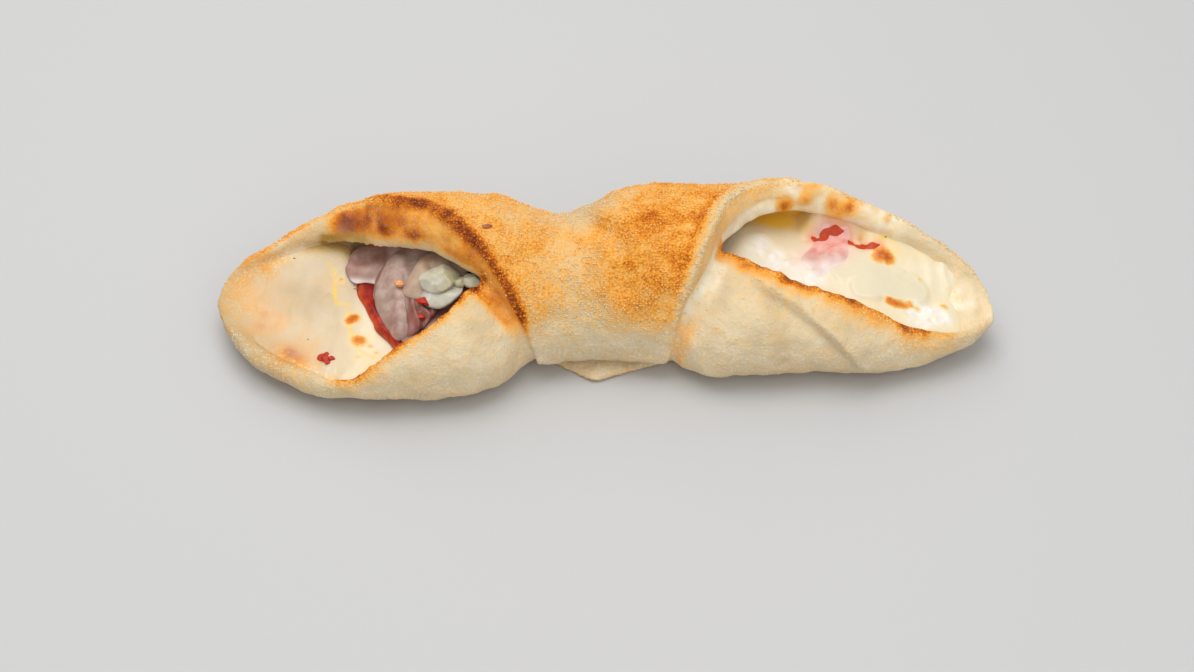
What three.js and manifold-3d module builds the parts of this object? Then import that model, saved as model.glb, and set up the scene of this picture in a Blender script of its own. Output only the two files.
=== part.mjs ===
// A baked, open-ended wrapped calzone: a sheet of dough folded into a long boat, with its
// back corner drawn over the middle as a band and tucked under the front.  Ham, melted
// cheese and tomato sauce fill it and show at the opening left of the band and at the one
// right of it.  Millimetres, +X along the boat, -Y towards the front, +Z up, resting on z = 0.
import * as THREE from 'three';
import { mergeVertices } from 'three/addons/utils/BufferGeometryUtils.js';
import Module from 'manifold-3d';

const wasm = await Module();
wasm.setup();

// ---------------------------------------------------------------- driving dimensions
const HALF_LENGTH = 139;      // tip to the middle of the band
const TIP_ROUND = 17;         // length over which each tip is rounded off
const TIP_HEIGHT = [13, 14.5]; // height of the left and of the right tip point
const BELLY_POWER = 2.6;      // roundness of the underside's corners: 2 is an ellipse
const CROWN_POWER = 2.15;     // roundness of the walls above the belly
const BAND_FOOT = 10;         // height at which the band's front stands furthest out
const BAND_TOE = 1;           // height that the band's end would curl under to
const GAP = 0.3;              // clearance between the dough and each filling
const LIP_REACH = 9;          // width of dough over which the free edge swells
const STATIONS = 37;          // cross-sections along the boat
const FLATNESS = 0.1;         // how far a facet may stray when small facets are merged
const CUT_FLATNESS = 0.08;    // the same for the slivers along a cut

// Lines of the boat: each is a list of [x, value] stations joined by a smooth curve.
const LINES = {
  // plan of the belly: its front and its back, and the height at which each is widest
  frontY: [[-139, -6], [-130, -17.5], [-120, -27], [-104, -38], [-88, -43], [-74, -43.5], [-60, -42],
    [-46, -39.5], [-36, -33], [-26, -22], [-12, -16], [10, -15], [20, -17], [28, -22], [38, -26.5],
    [50, -27], [68, -25], [94, -22.5], [115, -17], [130, -9.5], [139, -2]],
  backY: [[-139, 17], [-122, 25.5], [-104, 33], [-88, 37], [-60, 38.5], [-35, 38], [-17, 36], [-6, 38.5],
    [6, 44], [30, 47], [58, 47], [80, 45], [100, 38.5], [118, 31], [130, 22.5], [139, 15]],
  frontZ: [[-139, 12], [-104, 11], [-70, 13], [70, 13], [115, 12], [139, 12]],
  backZ: [[-139, 14], [-104, 15], [-70, 17], [70, 18], [115, 15], [139, 14]],
  underZ: [[-139, 8], [-124, 3.5], [-106, -0.1], [-94, -0.9], [96, -0.9], [108, -0.2], [124, 3], [139, 7]],
  // free edge of the front flaps, which climb from each tip and pass under the band
  flapY: [[-139, -8], [-120, -24], [-104, -34], [-90, -39.5], [-83, -39], [-70, -32.8], [-56, -22.8],
    [-47, -12], [-34, 2], [0, 10], [30, 13], [44, 7.4], [68, -2.7], [92, -8.5], [105, -12.4],
    [120, -11.5], [139, -3]],
  flapZ: [[-139, 14], [-104, 14], [-90, 15], [-70, 25], [-56, 31], [-47, 34], [-30, 31], [0, 28], [30, 33],
    [44, 36], [68, 33], [92, 27], [105, 22], [118, 18], [139, 14]],
  // crown of the back sheet, the front of the band, and how far the sheet turns over (degrees)
  crownY: [[-139, 9], [-125, 15], [-104, 23], [-88, 21], [-70, 14], [-45, 8], [-17, 9], [10, 14], [35, 15],
    [58, 21], [80, 28], [104, 26], [125, 18], [139, 10]],
  crownZ: [[-139, 21], [-128, 24.5], [-114, 28], [-102, 32], [-89, 38.5], [-72, 46], [-56, 48], [-42, 48],
    [-30, 44.5], [-17, 39.5], [-7, 41], [2, 47], [10, 49], [45, 49], [62, 48.5], [75, 45.5], [90, 39.5],
    [104, 34.5], [120, 28], [132, 23], [139, 19]],
  bandY: [[-139, -16], [-70, -30], [-45, -28], [-32, -27], [-21, -24.5], [-2, -20], [12, -21], [22, -22],
    [45, -26], [80, -10], [139, -5]],
  turn: [[-139, 55], [-122, 64], [-100, 71], [-80, 82], [-62, 90], [-48, 111], [-36, 137], [-27, 163],
    [-24, 180], [-20, 207], [-12, 214], [10, 212], [18, 206], [22, 190], [25, 166], [28, 146], [34, 113],
    [42, 88], [50, 72], [60, 62], [90, 64], [120, 62], [139, 55]],
  // thickness of the dough: the walls, the swollen free edge of the back sheet, the flaps
  wallT: [[-139, 4], [-128, 7], [-90, 7], [-65, 6.5], [-40, 5], [-22, 4], [22, 3.5], [40, 4.5], [60, 6.5],
    [90, 7], [128, 7], [139, 4]],
  edgeT: [[-139, 3.5], [-122, 4.5], [-108, 7], [-95, 11], [-80, 14], [-66, 14], [-52, 11], [-42, 8],
    [-31, 6], [-22, 4], [20, 3.6], [30, 5], [42, 7.5], [58, 11], [80, 10], [100, 8], [118, 6], [139, 4]],
  flapT: [[-139, 4], [-130, 5], [-110, 6], [-85, 5], [-60, 4.5], [0, 3.5], [60, 4.5], [100, 5], [120, 6],
    [132, 5], [139, 4]],
  // how far the lower lip of the free edge leans out, and the height of the inner floor
  leanT: [[-139, 0], [-108, 0], [-85, 4], [-66, 6], [-50, 4], [-38, 2], [-25, 0], [25, 0], [38, 2], [50, 1],
    [60, 0], [139, 0]],
  floorZ: [[-139, 15], [-124, 16], [-110, 15.5], [-98, 14], [-84, 10.5], [-66, 7.5], [60, 7], [86, 9],
    [104, 12], [120, 15], [130, 16.5], [139, 16]],
};

// Filling levels along the boat: top of the melted cheese, and top of the ham on its crest.
const CHEESE_LEVEL = [[-112, 12], [-84, 12.5], [-66, 12], [-40, 12.4], [6, 12.5], [22, 20], [36, 24.5],
  [70, 25], [92, 24], [106, 20.5], [118, 17.5], [125, 15.5], [130, 13]];
const CHEESE_FILM = 1.5;      // melted cheese left on the open tongues
const CHEESE_ENDS = [-128, 129];
const SAUCE_THICK = 1.8;
const SAUCE_SPILL = 5;        // how far the sauce shows beyond the ham at the left opening
const SAUCE_LOW = 12.9;       // height of the sauce's underside
const SAUCE_INSET = 1.5;      // how far it stops short of the walls
const HAM_CREST = [[-96, 15], [-84, 20], [-74, 24.5], [-58, 25.5], [-40, 25.5], [-10, 25], [10, 25], [28, 24],
  [40, 22], [64, 21.5], [72, 25.6], [92, 25.2]];
const HAM_FRONT_Z = 15.5;     // height of the ham at its low front edge
const HAM_FRONT_Y = -22;
const HAM_BACK_Y = 12;
const HAM_RIGHT_END = [17, 89]; // y below which the ham's right end stays sunk, and its end in x
const PACKED_Z = 46;          // height that the heap is pressed up to under the band and the rim

// ---------------------------------------------------------------- curves
/** Smooth curve through [x, value] stations: cubic pieces whose slopes never overshoot. */
function smooth(stations, x) {
  const last = stations.length - 1;
  const at = Math.min(Math.max(x, stations[0][0]), stations[last][0]);
  let i = 0;
  while (i < last - 1 && at > stations[i + 1][0]) i += 1;
  const width = (k) => stations[k + 1][0] - stations[k][0];
  const rise = (k) => (stations[k + 1][1] - stations[k][1]) / width(k);
  const slope = (k) => {
    if (k === 0) return rise(0);
    if (k === last) return rise(last - 1);
    if (rise(k - 1) * rise(k) <= 0) return 0;
    const before = 2 * width(k) + width(k - 1);
    const after = width(k) + 2 * width(k - 1);
    return (before + after) / (before / rise(k - 1) + after / rise(k));
  };
  const h = width(i);
  const t = (at - stations[i][0]) / h;
  const t2 = t * t;
  const t3 = t2 * t;
  return (2 * t3 - 3 * t2 + 1) * stations[i][1] + (t3 - 2 * t2 + t) * h * slope(i)
    + (3 * t2 - 2 * t3) * stations[i + 1][1] + (t3 - t2) * h * slope(i + 1);
}

const mix = (a, b, t) => a + (b - a) * t;
const clamp01 = (v) => Math.min(Math.max(v, 0), 1);
const ease = (v) => clamp01(v) ** 2 * (3 - 2 * clamp01(v));
const bell = (v) => Math.exp(-v * v);
const signedPower = (v, p) => Math.sign(v) * Math.abs(v) ** p;
const steps = (count, from = 0) => Array.from({ length: count - from }, (_, i) => (i + from) / (count - 1));

/** Quarter-circle factor that draws every line in to the tip over the last TIP_ROUND. */
function tipFactor(x) {
  const past = clamp01((Math.abs(x) - (HALF_LENGTH - TIP_ROUND)) / TIP_ROUND);
  return Math.sqrt(1 - past * past);
}

/** All of the boat's lines at one station, drawn in towards the tip point. */
function linesAt(x) {
  const factor = tipFactor(x);
  const tipZ = x < 0 ? TIP_HEIGHT[0] : TIP_HEIGHT[1];
  const line = {};
  for (const [name, stations] of Object.entries(LINES)) {
    const value = smooth(stations, x);
    const kind = name.slice(-1);
    if (kind === 'Y' || kind === 'T') line[name] = value * factor;
    else if (kind === 'Z') line[name] = tipZ + (value - tipZ) * factor;
    else line[name] = value;
  }
  return line;
}

/** Stations from tip to tip, crowded at both tips and where the band's edges cross the boat. */
function stationList(count) {
  const density = (x) => 1 + 1.3 * bell((x + 32) / 20) + 1.6 * bell((x - 26) / 16)
    + 1.5 * bell((HALF_LENGTH - Math.abs(x)) / 12);
  const fine = steps(1001).map((t) => mix(-HALF_LENGTH, HALF_LENGTH, t));
  const sums = [0];
  fine.slice(1).forEach((x) => sums.push(sums[sums.length - 1] + density(x)));
  return steps(count).map((t) => fine[sums.findIndex((sum) => sum >= t * sums[1000])]);
}

// ---------------------------------------------------------------- cross-sections, as [y, z] points
/** Quarter of a superellipse from [y0, z0], its widest point, to [y1, z1], its top or bottom. */
function quarter(y0, z0, y1, z1, power, count, from) {
  return steps(count, from).map((t) => {
    const angle = (t * Math.PI) / 2;
    return [y1 + (y0 - y1) * Math.cos(angle) ** (2 / power), z0 + (z1 - z0) * Math.sin(angle) ** (2 / power)];
  });
}

/** Outer face of the back sheet: part s (0 to 1) of its turn up, over the crown and down the band. */
function backSheetPoint(line, s) {
  const angle = THREE.MathUtils.degToRad(line.turn * s);
  const across = Math.cos(angle);
  const up = Math.sin(angle);
  const halfY = across > 0 ? line.backY - line.crownY : line.crownY - line.bandY;
  const middleZ = across > 0 ? line.backZ : BAND_FOOT;
  const halfZ = up > 0 ? line.crownZ - middleZ : middleZ - BAND_TOE;
  return [line.crownY + halfY * signedPower(across, 2 / CROWN_POWER),
    middleZ + halfZ * signedPower(up, 2 / CROWN_POWER)];
}

/** Unit direction along a section at point i. */
function tangentAt(points, i) {
  const [y0, z0] = points[Math.max(i - 1, 0)];
  const [y1, z1] = points[Math.min(i + 1, points.length - 1)];
  const length = Math.hypot(y1 - y0, z1 - z0) || 1;
  return [(y1 - y0) / length, (z1 - z0) / length];
}

/** Section moved sideways to its left by depth(i) and onwards along itself by reach(i). */
function offset(points, depth, reach = () => 0) {
  return points.map(([y, z], i) => {
    const [ty, tz] = tangentAt(points, i);
    return [y - tz * depth(i) + ty * reach(i), z + ty * depth(i) + tz * reach(i)];
  });
}

/** Length of dough between each point of a section and its last point. */
function lengthToEnd(points) {
  const rest = new Array(points.length).fill(0);
  for (let i = points.length - 2; i >= 0; i -= 1) {
    rest[i] = rest[i + 1] + Math.hypot(points[i + 1][0] - points[i][0], points[i + 1][1] - points[i][1]);
  }
  return rest;
}

const BACK_COUNT = 15;
const CAP_COUNT = 3;

/** Back sheet and band: outer face, swollen free edge with a leaning lip, then inner face. */
function wrapSection(x) {
  const line = linesAt(x);
  const outer = steps(BACK_COUNT).map((t) => backSheetPoint(line, 1 - (1 - t) ** 1.25));
  const rest = lengthToEnd(outer);
  const swell = (i) => bell(rest[i] / LIP_REACH);
  const ridge = (i) => -0.16 * Math.min(Math.max(line.edgeT - 4.5, 0), 8) * bell((rest[i] - 3) / 4);
  const inner = offset(outer, (i) => mix(line.wallT, line.edgeT, swell(i)),
    (i) => line.leanT * bell(rest[i] / 7)).reverse();
  const face = offset(outer, ridge);
  const [y0, z0] = face[face.length - 1];
  const [y1, z1] = inner[0];
  const cap = [];
  for (let k = 1; k <= CAP_COUNT; k += 1) {
    const t = k / (CAP_COUNT + 1);
    const bulge = 0.2 * Math.sqrt(Math.sin(Math.PI * t)) - 0.16 * Math.sin(Math.PI * t) ** 4;
    cap.push([mix(y0, y1, t) - (z1 - z0) * bulge, mix(z0, z1, t) + (y1 - y0) * bulge]);
  }
  return [...face, ...cap, ...inner];
}

/** Front flap's outer face, from its free edge down to the widest line of the belly. */
function flapOuter(line, count) {
  return quarter(line.frontY, line.frontZ, line.flapY, line.flapZ, CROWN_POWER, count, 0).reverse();
}

/** Inner face of the front flap, in the order of its outer face. */
function flapInner(line, outer) {
  return offset(outer, (i) => line.flapT * mix(0.6, 1, i / (outer.length - 1)));
}

/** Inner floor from the back wall to the front flap: a dished curve down to the floor height. */
function floorCurve(floorZ, back, front, count) {
  return steps(count + 1, 1).slice(0, -1).map((t) => {
    const w = (1 - Math.cos(Math.PI * t)) / 2;
    const chord = mix(back[1], front[1], w);
    const dish = Math.max(chord - floorZ, 0) * (2 * Math.sqrt(w * (1 - w))) ** (2 / 3);
    return [mix(back[0], front[0], w), chord - dish];
  });
}

/** Trough: front flap, belly, back wall stub that the back sheet grows from, and the floor. */
function hullSection(x) {
  const line = linesAt(x);
  const middleY = (line.frontY + line.backY) / 2;
  const flap = flapOuter(line, 7);
  const bellyFront = quarter(line.frontY, line.frontZ, middleY, line.underZ, BELLY_POWER, 6, 1);
  const bellyBack = quarter(line.backY, line.backZ, middleY, line.underZ, BELLY_POWER, 6, 0)
    .reverse().slice(1);
  const stub = steps(3, 1).map((t) => backSheetPoint(line, 0.25 * t));
  const stubInner = offset(stub, () => line.wallT * 0.98).reverse();
  const inner = flapInner(line, flap).reverse();
  const heel = [line.backY - line.wallT, line.backZ];
  const floor = floorCurve(line.floorZ, heel, inner[0], 8);
  return [...flap, ...bellyFront, ...bellyBack, ...stub, ...stubInner, ...floor, ...inner];
}

/** Space enclosed by the middle of the dough, closed over the openings above the fillings. */
function roomSection(x) {
  const line = linesAt(x);
  const flap = flapOuter(line, 7);
  const flapMiddle = offset(flap, () => line.flapT * 0.45);
  const [edgeY, edgeZ] = flapMiddle[0];
  const over = steps(61).filter((t) => backSheetPoint(line, t)[0] > edgeY + 1).pop();
  const roof = steps(15).map((t) => backSheetPoint(line, over * t));
  const roofMiddle = offset(roof, () => line.wallT * 0.55).reverse();
  const heel = [line.backY - line.wallT * 0.5, line.backZ];
  const floor = floorCurve(line.floorZ - 2, heel, flapMiddle[flapMiddle.length - 1], 9);
  return [[edgeY, edgeZ + 4], ...flapMiddle, ...floor.reverse(), ...roofMiddle.reverse()];
}

// ---------------------------------------------------------------- closed solids
/** Solid from vertices and triangles, welded and turned so that its faces point outwards. */
function solidFrom(vertices, triangles) {
  const geometry = new THREE.BufferGeometry();
  geometry.setAttribute('position', new THREE.Float32BufferAttribute(vertices.flat(), 3));
  geometry.setIndex(triangles.flat());
  const welded = mergeVertices(geometry, 1e-3);
  const index = welded.index.array;
  const triVerts = [];
  for (let i = 0; i < index.length; i += 3) {
    const [a, b, c] = [index[i], index[i + 1], index[i + 2]];
    if (a !== b && b !== c && c !== a) triVerts.push(a, b, c);
  }
  const point = (i) => new THREE.Vector3().fromBufferAttribute(welded.attributes.position, i);
  let volume = 0;
  for (let i = 0; i < triVerts.length; i += 3) {
    volume += point(triVerts[i]).dot(point(triVerts[i + 1]).cross(point(triVerts[i + 2])));
  }
  if (volume < 0) triVerts.reverse();
  return new wasm.Manifold(new wasm.Mesh({
    numProp: 3,
    vertProperties: new Float32Array(welded.attributes.position.array),
    triVerts: new Uint32Array(triVerts),
  }));
}

/** The two triangles of a four-sided facet, split along its shorter diagonal. */
function shortSplit(vertices, [a, b, c, d]) {
  const apart = (i, j) => Math.hypot(...vertices[i].map((value, axis) => value - vertices[j][axis]));
  return apart(a, c) < apart(b, d) ? [[a, b, c], [a, c, d]] : [[a, b, d], [b, c, d]];
}

/** Rings of equal count joined into a tube that closes to a point at each end. */
function loft(rings, tips) {
  const count = rings[0].length;
  const vertices = [tips[0], ...rings.flat(), tips[1]];
  const at = (r, k) => 1 + r * count + (k % count);
  const triangles = [];
  for (let k = 0; k < count; k += 1) {
    triangles.push([0, at(0, k + 1), at(0, k)]);
    for (let r = 0; r < rings.length - 1; r += 1) {
      triangles.push(...shortSplit(vertices, [at(r, k), at(r, k + 1), at(r + 1, k + 1), at(r + 1, k)]));
    }
    triangles.push([vertices.length - 1, at(rings.length - 1, k), at(rings.length - 1, k + 1)]);
  }
  return solidFrom(vertices, triangles);
}

/** A closed cross-section with every side moved outwards by grow. */
function swollen(ring, grow) {
  const next = (i) => ring[(i + 1) % ring.length];
  const area = ring.reduce((sum, [y, z], i) => sum + y * next(i)[1] - next(i)[0] * z, 0);
  return ring.map(([y, z], i) => {
    const before = ring[(i + ring.length - 1) % ring.length];
    const [dy, dz] = [next(i)[0] - before[0], next(i)[1] - before[1]];
    const out = (Math.sign(area) * grow) / (Math.hypot(dy, dz) || 1);
    return [y + dz * out, z - dy * out];
  });
}

/** A cross-section carried along the boat from tip to tip. */
function alongBoat(section, grow = 0) {
  const inner = stationList(STATIONS).slice(1, -1);
  const tips = [[-HALF_LENGTH, 0, TIP_HEIGHT[0]], [HALF_LENGTH, 0, TIP_HEIGHT[1]]];
  return loft(inner.map((x) => swollen(section(x), grow).map(([y, z]) => [x, y, z])), tips);
}

/** Slab between two heights over a plan: plan(s, t) gives [x, y] for s and t from 0 to 1. */
function slab(plan, low, high, countS, countT) {
  const rim = [];
  for (const s of steps(countS).slice(0, -1)) rim.push([s, 0]);
  for (const t of steps(countT).slice(0, -1)) rim.push([1, t]);
  for (const s of steps(countS).slice(0, -1)) rim.push([1 - s, 1]);
  for (const t of steps(countT).slice(0, -1)) rim.push([0, 1 - t]);
  const vertices = [];
  const triangles = [];
  for (const height of [low, high]) {
    for (const s of steps(countS)) {
      for (const t of steps(countT)) {
        const [x, y] = plan(s, t);
        vertices.push([x, y, height(x, y, s, t)]);
      }
    }
  }
  const half = countS * countT;
  const at = (s, t) => Math.round(s * (countS - 1)) * countT + Math.round(t * (countT - 1));
  for (let i = 0; i < countS - 1; i += 1) {
    for (let j = 0; j < countT - 1; j += 1) {
      const a = i * countT + j;
      const [b, c, d] = [a + countT, a + countT + 1, a + 1];
      triangles.push([a, c, b], [a, d, c]);
      triangles.push([half + a, half + b, half + c], [half + a, half + c, half + d]);
    }
  }
  rim.forEach(([s, t], k) => {
    const [s2, t2] = rim[(k + 1) % rim.length];
    const [a, b] = [at(s, t), at(s2, t2)];
    triangles.push([a, b, half + b], [a, half + b, half + a]);
  });
  return solidFrom(vertices, triangles);
}

/** The largest connected body of a cut solid, without the crumbs and slivers that a cut leaves. */
function largest(solid) {
  const bodies = solid.simplify(CUT_FLATNESS).decompose();
  return bodies.reduce((best, body) => (body.volume() > best.volume() ? body : best));
}

// ---------------------------------------------------------------- the dough
const TUCK_TIP = [-3, -23.5]; // point of the dough corner that shows below the band
const TUCK_ROOT = [4, -4];    // middle of its hidden root, inside the belly
const TUCK_HALF_WIDTH = [50, 2]; // half its width at the root and at the tip
const TUCK_THICK = [4.5, 2];  // its thickness at the root and at the tip
const TUCK_LIFT = 0.3;        // height of its underside

/** Corner of the sheet tucked under the band: a flat tapering tongue that lies just off the table. */
function tuckedCorner() {
  const plan = (s, t) => {
    const half = mix(...TUCK_HALF_WIDTH, t);
    return [mix(TUCK_ROOT[0], TUCK_TIP[0], t) + (2 * s - 1) * half, mix(TUCK_ROOT[1], TUCK_TIP[1], t)];
  };
  const top = (x, y, s, t) => TUCK_LIFT + mix(...TUCK_THICK, t) * (1 - 0.6 * Math.abs(2 * s - 1) ** 4);
  return slab(plan, () => TUCK_LIFT, top, 9, 5);
}

/** Space below the surface that the calzone lies on, where its own weight presses it flat. */
function belowTable() {
  const plan = (s, t) => [mix(-150, 150, s), mix(-60, 60, t)];
  return slab(plan, () => -20, () => 0, 2, 2);
}

function doughSolid(grow) {
  return alongBoat(hullSection, grow).add(alongBoat(wrapSection, grow)).simplify(FLATNESS);
}

// ---------------------------------------------------------------- the fillings
/** Height of the inner floor, flat along each station apart from the dish towards its walls. */
const floorAt = (x) => linesAt(x).floorZ;

/** Melted cheese: pools at its level, and thins to a film that dies out at the tongues' rims. */
function cheeseTop(x, y) {
  const line = linesAt(x);
  const rim = Math.min(y - line.flapY, line.backY - line.wallT - y, x - CHEESE_ENDS[0], CHEESE_ENDS[1] - x);
  const film = floorAt(x) + CHEESE_FILM - 2.5 * (1 - ease(rim / 9));
  return Math.max(film, smooth(CHEESE_LEVEL, x));
}

/** Left edge of the ham in plan: it swings from the back left towards the front right. */
const hamLeftX = (y) => -83 + 5.5 * ease((4 - y) / 14) + 9 * ease((-8 - y) / 16);

/** Underside of the ham, resting on the sauce, which rests on the cheese. */
const HAM_LOW = SAUCE_LOW + SAUCE_THICK + 1.2 * GAP;

/** How far the heap is pressed up against the dough: wholly under the band and behind the rim. */
function packedAt(x, y) {
  const underBand = ease((x + 46) / 18) * ease((46 - x) / 16);
  const behindRim = ease((x + 74) / 12) * ease((46 - x) / 16) * ease((y - 14) / 8);
  return Math.max(underBand, behindRim);
}

/** Upper face of the ham: low at the front, high at the back, with soft folds along the boat. */
function hamTop(x, y) {
  const climb = ease((y - HAM_FRONT_Y) / (HAM_BACK_Y - HAM_FRONT_Y));
  const folds = 0.7 * Math.sin(0.42 * y + 0.09 * x);
  const rolled = Math.sqrt(clamp01((x - hamLeftX(y)) / 7));
  const sunk = x > 52 ? 5 * ease((HAM_RIGHT_END[0] - y) / 5) : 0;
  const open = mix(HAM_FRONT_Z, smooth(HAM_CREST, x), climb) + folds - sunk;
  const full = mix(open, PACKED_Z, packedAt(x, y));
  return mix(HAM_LOW + 0.8, Math.max(full, HAM_LOW + 1.2), rolled);
}

function hamLayer(grow) {
  const plan = (s, t) => {
    const y = mix(-30 - grow, 40 + grow, t);
    const spread = (Math.max(0, s - 0.05) / 0.95) ** 1.05;
    return [mix(hamLeftX(y) - grow, HAM_RIGHT_END[1] + grow, spread), y];
  };
  return slab(plan, () => HAM_LOW - grow, (x, y) => hamTop(x, y) + grow, 28, 12);
}

function sauceLayer(grow) {
  const plan = (s, t) => {
    const x = mix(hamLeftX(mix(-30, 40, t)) - SAUCE_SPILL - grow, HAM_RIGHT_END[1] + grow, s);
    const line = linesAt(x);
    const front = line.frontY + line.flapT + SAUCE_INSET - grow;
    return [x, mix(front, line.backY - line.wallT - SAUCE_INSET + grow, t)];
  };
  return slab(plan, () => SAUCE_LOW - grow, () => SAUCE_LOW + SAUCE_THICK + grow, 16, 8);
}

function cheeseLayer() {
  const plan = (s, t) => [mix(CHEESE_ENDS[0], CHEESE_ENDS[1], s), mix(-48, 48, t)];
  return slab(plan, () => 1, (x, y) => cheeseTop(x, y), 32, 15);
}

/** A slice of ham laid over the heap: an oval in plan, a little ruffled, thin at its rim. */
function hamSlice({ centre, half, angle, thick, lift, ruffle }, grow) {
  const turn = THREE.MathUtils.degToRad(angle);
  const plan = (s, t) => {
    const [u, v] = [2 * s - 1, 2 * t - 1];
    const [a, b] = [u * Math.sqrt(1 - 0.5 * v * v), v * Math.sqrt(1 - 0.5 * u * u)];
    const [p, q] = [a * (half[0] + grow), b * (half[1] + grow)];
    const [along, aside] = [Math.cos(turn), Math.sin(turn)];
    return [centre[0] + p * along - q * aside, centre[1] + p * aside + q * along];
  };
  const low = (x, y) => hamTop(x, y) + lift + ruffle * (1 + Math.sin(0.55 * x - 0.35 * y));
  const body = (s, t) => Math.max(Math.abs(2 * s - 1), Math.abs(2 * t - 1));
  const high = (x, y, s, t) => low(x, y) + thick * (0.35 + 0.65 * Math.sqrt(1 - body(s, t) ** 4));
  return slab(plan, (x, y) => low(x, y) - grow, (x, y, s, t) => high(x, y, s, t) + grow, 8, 8);
}

const SLICES = {
  ham_slice_top: { centre: [-61, 3], half: [11, 13], angle: -20, thick: 2.6, lift: 0.6, ruffle: 0.5 },
  ham_slice_front: { centre: [-66, -13], half: [8, 8], angle: 25, thick: 2.2, lift: 0.6, ruffle: 0.7 },
  ham_slice_back: { centre: [-85, 14], half: [10, 10], angle: 20, thick: 2.6, lift: 0.6, ruffle: 0.3 },
};

const CURD_CENTRE = [-58.5, -3, 27.5];
const CURD_HALF = [6, 5, 4.2];

/** A lump of unmelted cheese: a faceted ball, flattened and made uneven by three waves. */
function curdSolid() {
  const ball = new THREE.IcosahedronGeometry(1, 2);
  ball.deleteAttribute('normal');
  ball.deleteAttribute('uv');
  const round = mergeVertices(ball, 1e-4);
  const vertices = [];
  for (let i = 0; i < round.attributes.position.count; i += 1) {
    const p = new THREE.Vector3().fromBufferAttribute(round.attributes.position, i);
    const uneven = 1 + 0.1 * Math.sin(5 * p.x + 1) * Math.cos(4 * p.y) + 0.06 * Math.sin(7 * p.z);
    const boxed = 1 / Math.max(Math.abs(p.x), Math.abs(p.y), Math.abs(p.z));
    const radius = uneven * Math.min(boxed, 1.12);
    vertices.push(CURD_CENTRE.map((c, axis) => c + CURD_HALF[axis] * radius * p.getComponent(axis)));
  }
  const triangles = [];
  const index = round.index.array;
  for (let i = 0; i < index.length; i += 3) triangles.push([index[i], index[i + 1], index[i + 2]]);
  return solidFrom(vertices, triangles);
}

// ---------------------------------------------------------------- assembly
const dough = largest(doughSolid(0).add(tuckedCorner()).subtract(belowTable()));
const doughClear = doughSolid(GAP);
const room = alongBoat(roomSection);

/** What a filling takes up: inside the dough's room, clear of the dough and of the others. */
function fitted(solid, others) {
  const inside = solid.intersect(room).subtract(doughClear);
  return largest(others.reduce((rest, other) => rest.subtract(other), inside));
}

const hamClear = hamLayer(GAP);
const sliceClear = {};
for (const [name, size] of Object.entries(SLICES)) sliceClear[name] = hamSlice(size, GAP);
const pieces = {
  dough,
  cheese: fitted(cheeseLayer(), [hamClear, sauceLayer(GAP), ...Object.values(sliceClear)]),
  sauce: fitted(sauceLayer(0), [sliceClear.ham_slice_back]),
  ham_layer: fitted(hamLayer(0), []),
  ham_slice_top: fitted(hamSlice(SLICES.ham_slice_top, 0), [hamClear]),
  ham_slice_front: fitted(hamSlice(SLICES.ham_slice_front, 0), [hamClear, sliceClear.ham_slice_top]),
  ham_slice_back: fitted(hamSlice(SLICES.ham_slice_back, 0), [hamClear]),
  cheese_curd: largest(curdSolid().subtract(sliceClear.ham_slice_top).subtract(doughClear)),
};

const FINISH = {
  dough: { color: 0xd8a863, roughness: 0.75 },
  cheese: { color: 0xeee2ae, roughness: 0.35 },
  sauce: { color: 0xa51d0c, roughness: 0.3 },
  ham: { color: 0xc09a90, roughness: 0.45 },
};
const finishOf = (name) => FINISH[name.split('_')[0]];

/** Middle of the dough's box in plan, which becomes the origin. */
function planCentre(solid) {
  const { min, max } = solid.boundingBox();
  return [(min[0] + max[0]) / 2, (min[1] + max[1]) / 2, min[2]];
}

/** Mesh of one solid, with the origin at the middle of the calzone's underside. */
function meshOf(name, solid, origin) {
  const { vertProperties, triVerts } = solid.getMesh();
  const geometry = new THREE.BufferGeometry();
  geometry.setAttribute('position', new THREE.Float32BufferAttribute(vertProperties, 3));
  geometry.setIndex(new THREE.Uint32BufferAttribute(triVerts, 1));
  geometry.translate(-origin[0], -origin[1], -origin[2]);
  geometry.computeVertexNormals();
  const mesh = new THREE.Mesh(geometry, new THREE.MeshStandardMaterial({ ...finishOf(name), metalness: 0 }));
  mesh.name = name;
  return mesh;
}

const calzone = new THREE.Group();
const origin = planCentre(dough);
for (const [name, solid] of Object.entries(pieces)) calzone.add(meshOf(name, solid, origin));

export default calzone;
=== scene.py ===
"""An open-ended wrapped calzone: one sheet of baked dough over ham, melted cheese and sauce."""
import bpy
import numpy as np
from mathutils import Matrix, Vector


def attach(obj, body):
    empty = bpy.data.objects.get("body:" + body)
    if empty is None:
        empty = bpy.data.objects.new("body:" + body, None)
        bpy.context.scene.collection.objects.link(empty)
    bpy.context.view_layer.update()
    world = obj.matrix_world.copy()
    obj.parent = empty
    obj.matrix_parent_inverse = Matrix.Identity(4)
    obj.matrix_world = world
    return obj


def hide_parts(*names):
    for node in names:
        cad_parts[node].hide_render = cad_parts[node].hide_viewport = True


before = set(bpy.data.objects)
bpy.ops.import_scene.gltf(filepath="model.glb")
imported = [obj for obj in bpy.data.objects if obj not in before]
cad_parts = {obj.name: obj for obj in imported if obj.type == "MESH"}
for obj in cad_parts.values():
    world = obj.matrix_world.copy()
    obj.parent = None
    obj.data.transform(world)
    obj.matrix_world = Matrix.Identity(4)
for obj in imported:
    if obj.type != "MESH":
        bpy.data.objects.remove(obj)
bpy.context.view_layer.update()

# ---------------------------------------------------------------- camera
# A camera at a diner's eye, half a metre up and back from the calzone, looking down at it from the
# front.  It leans by one degree, as a camera held in the hand does.
PICTURE_WIDTH = 1194          # pixels across the whole frame
FOCAL_PIXELS = 1993.2         # focal length in those pixels
SENSOR_WIDTH = 36.0           # millimetres
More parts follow.
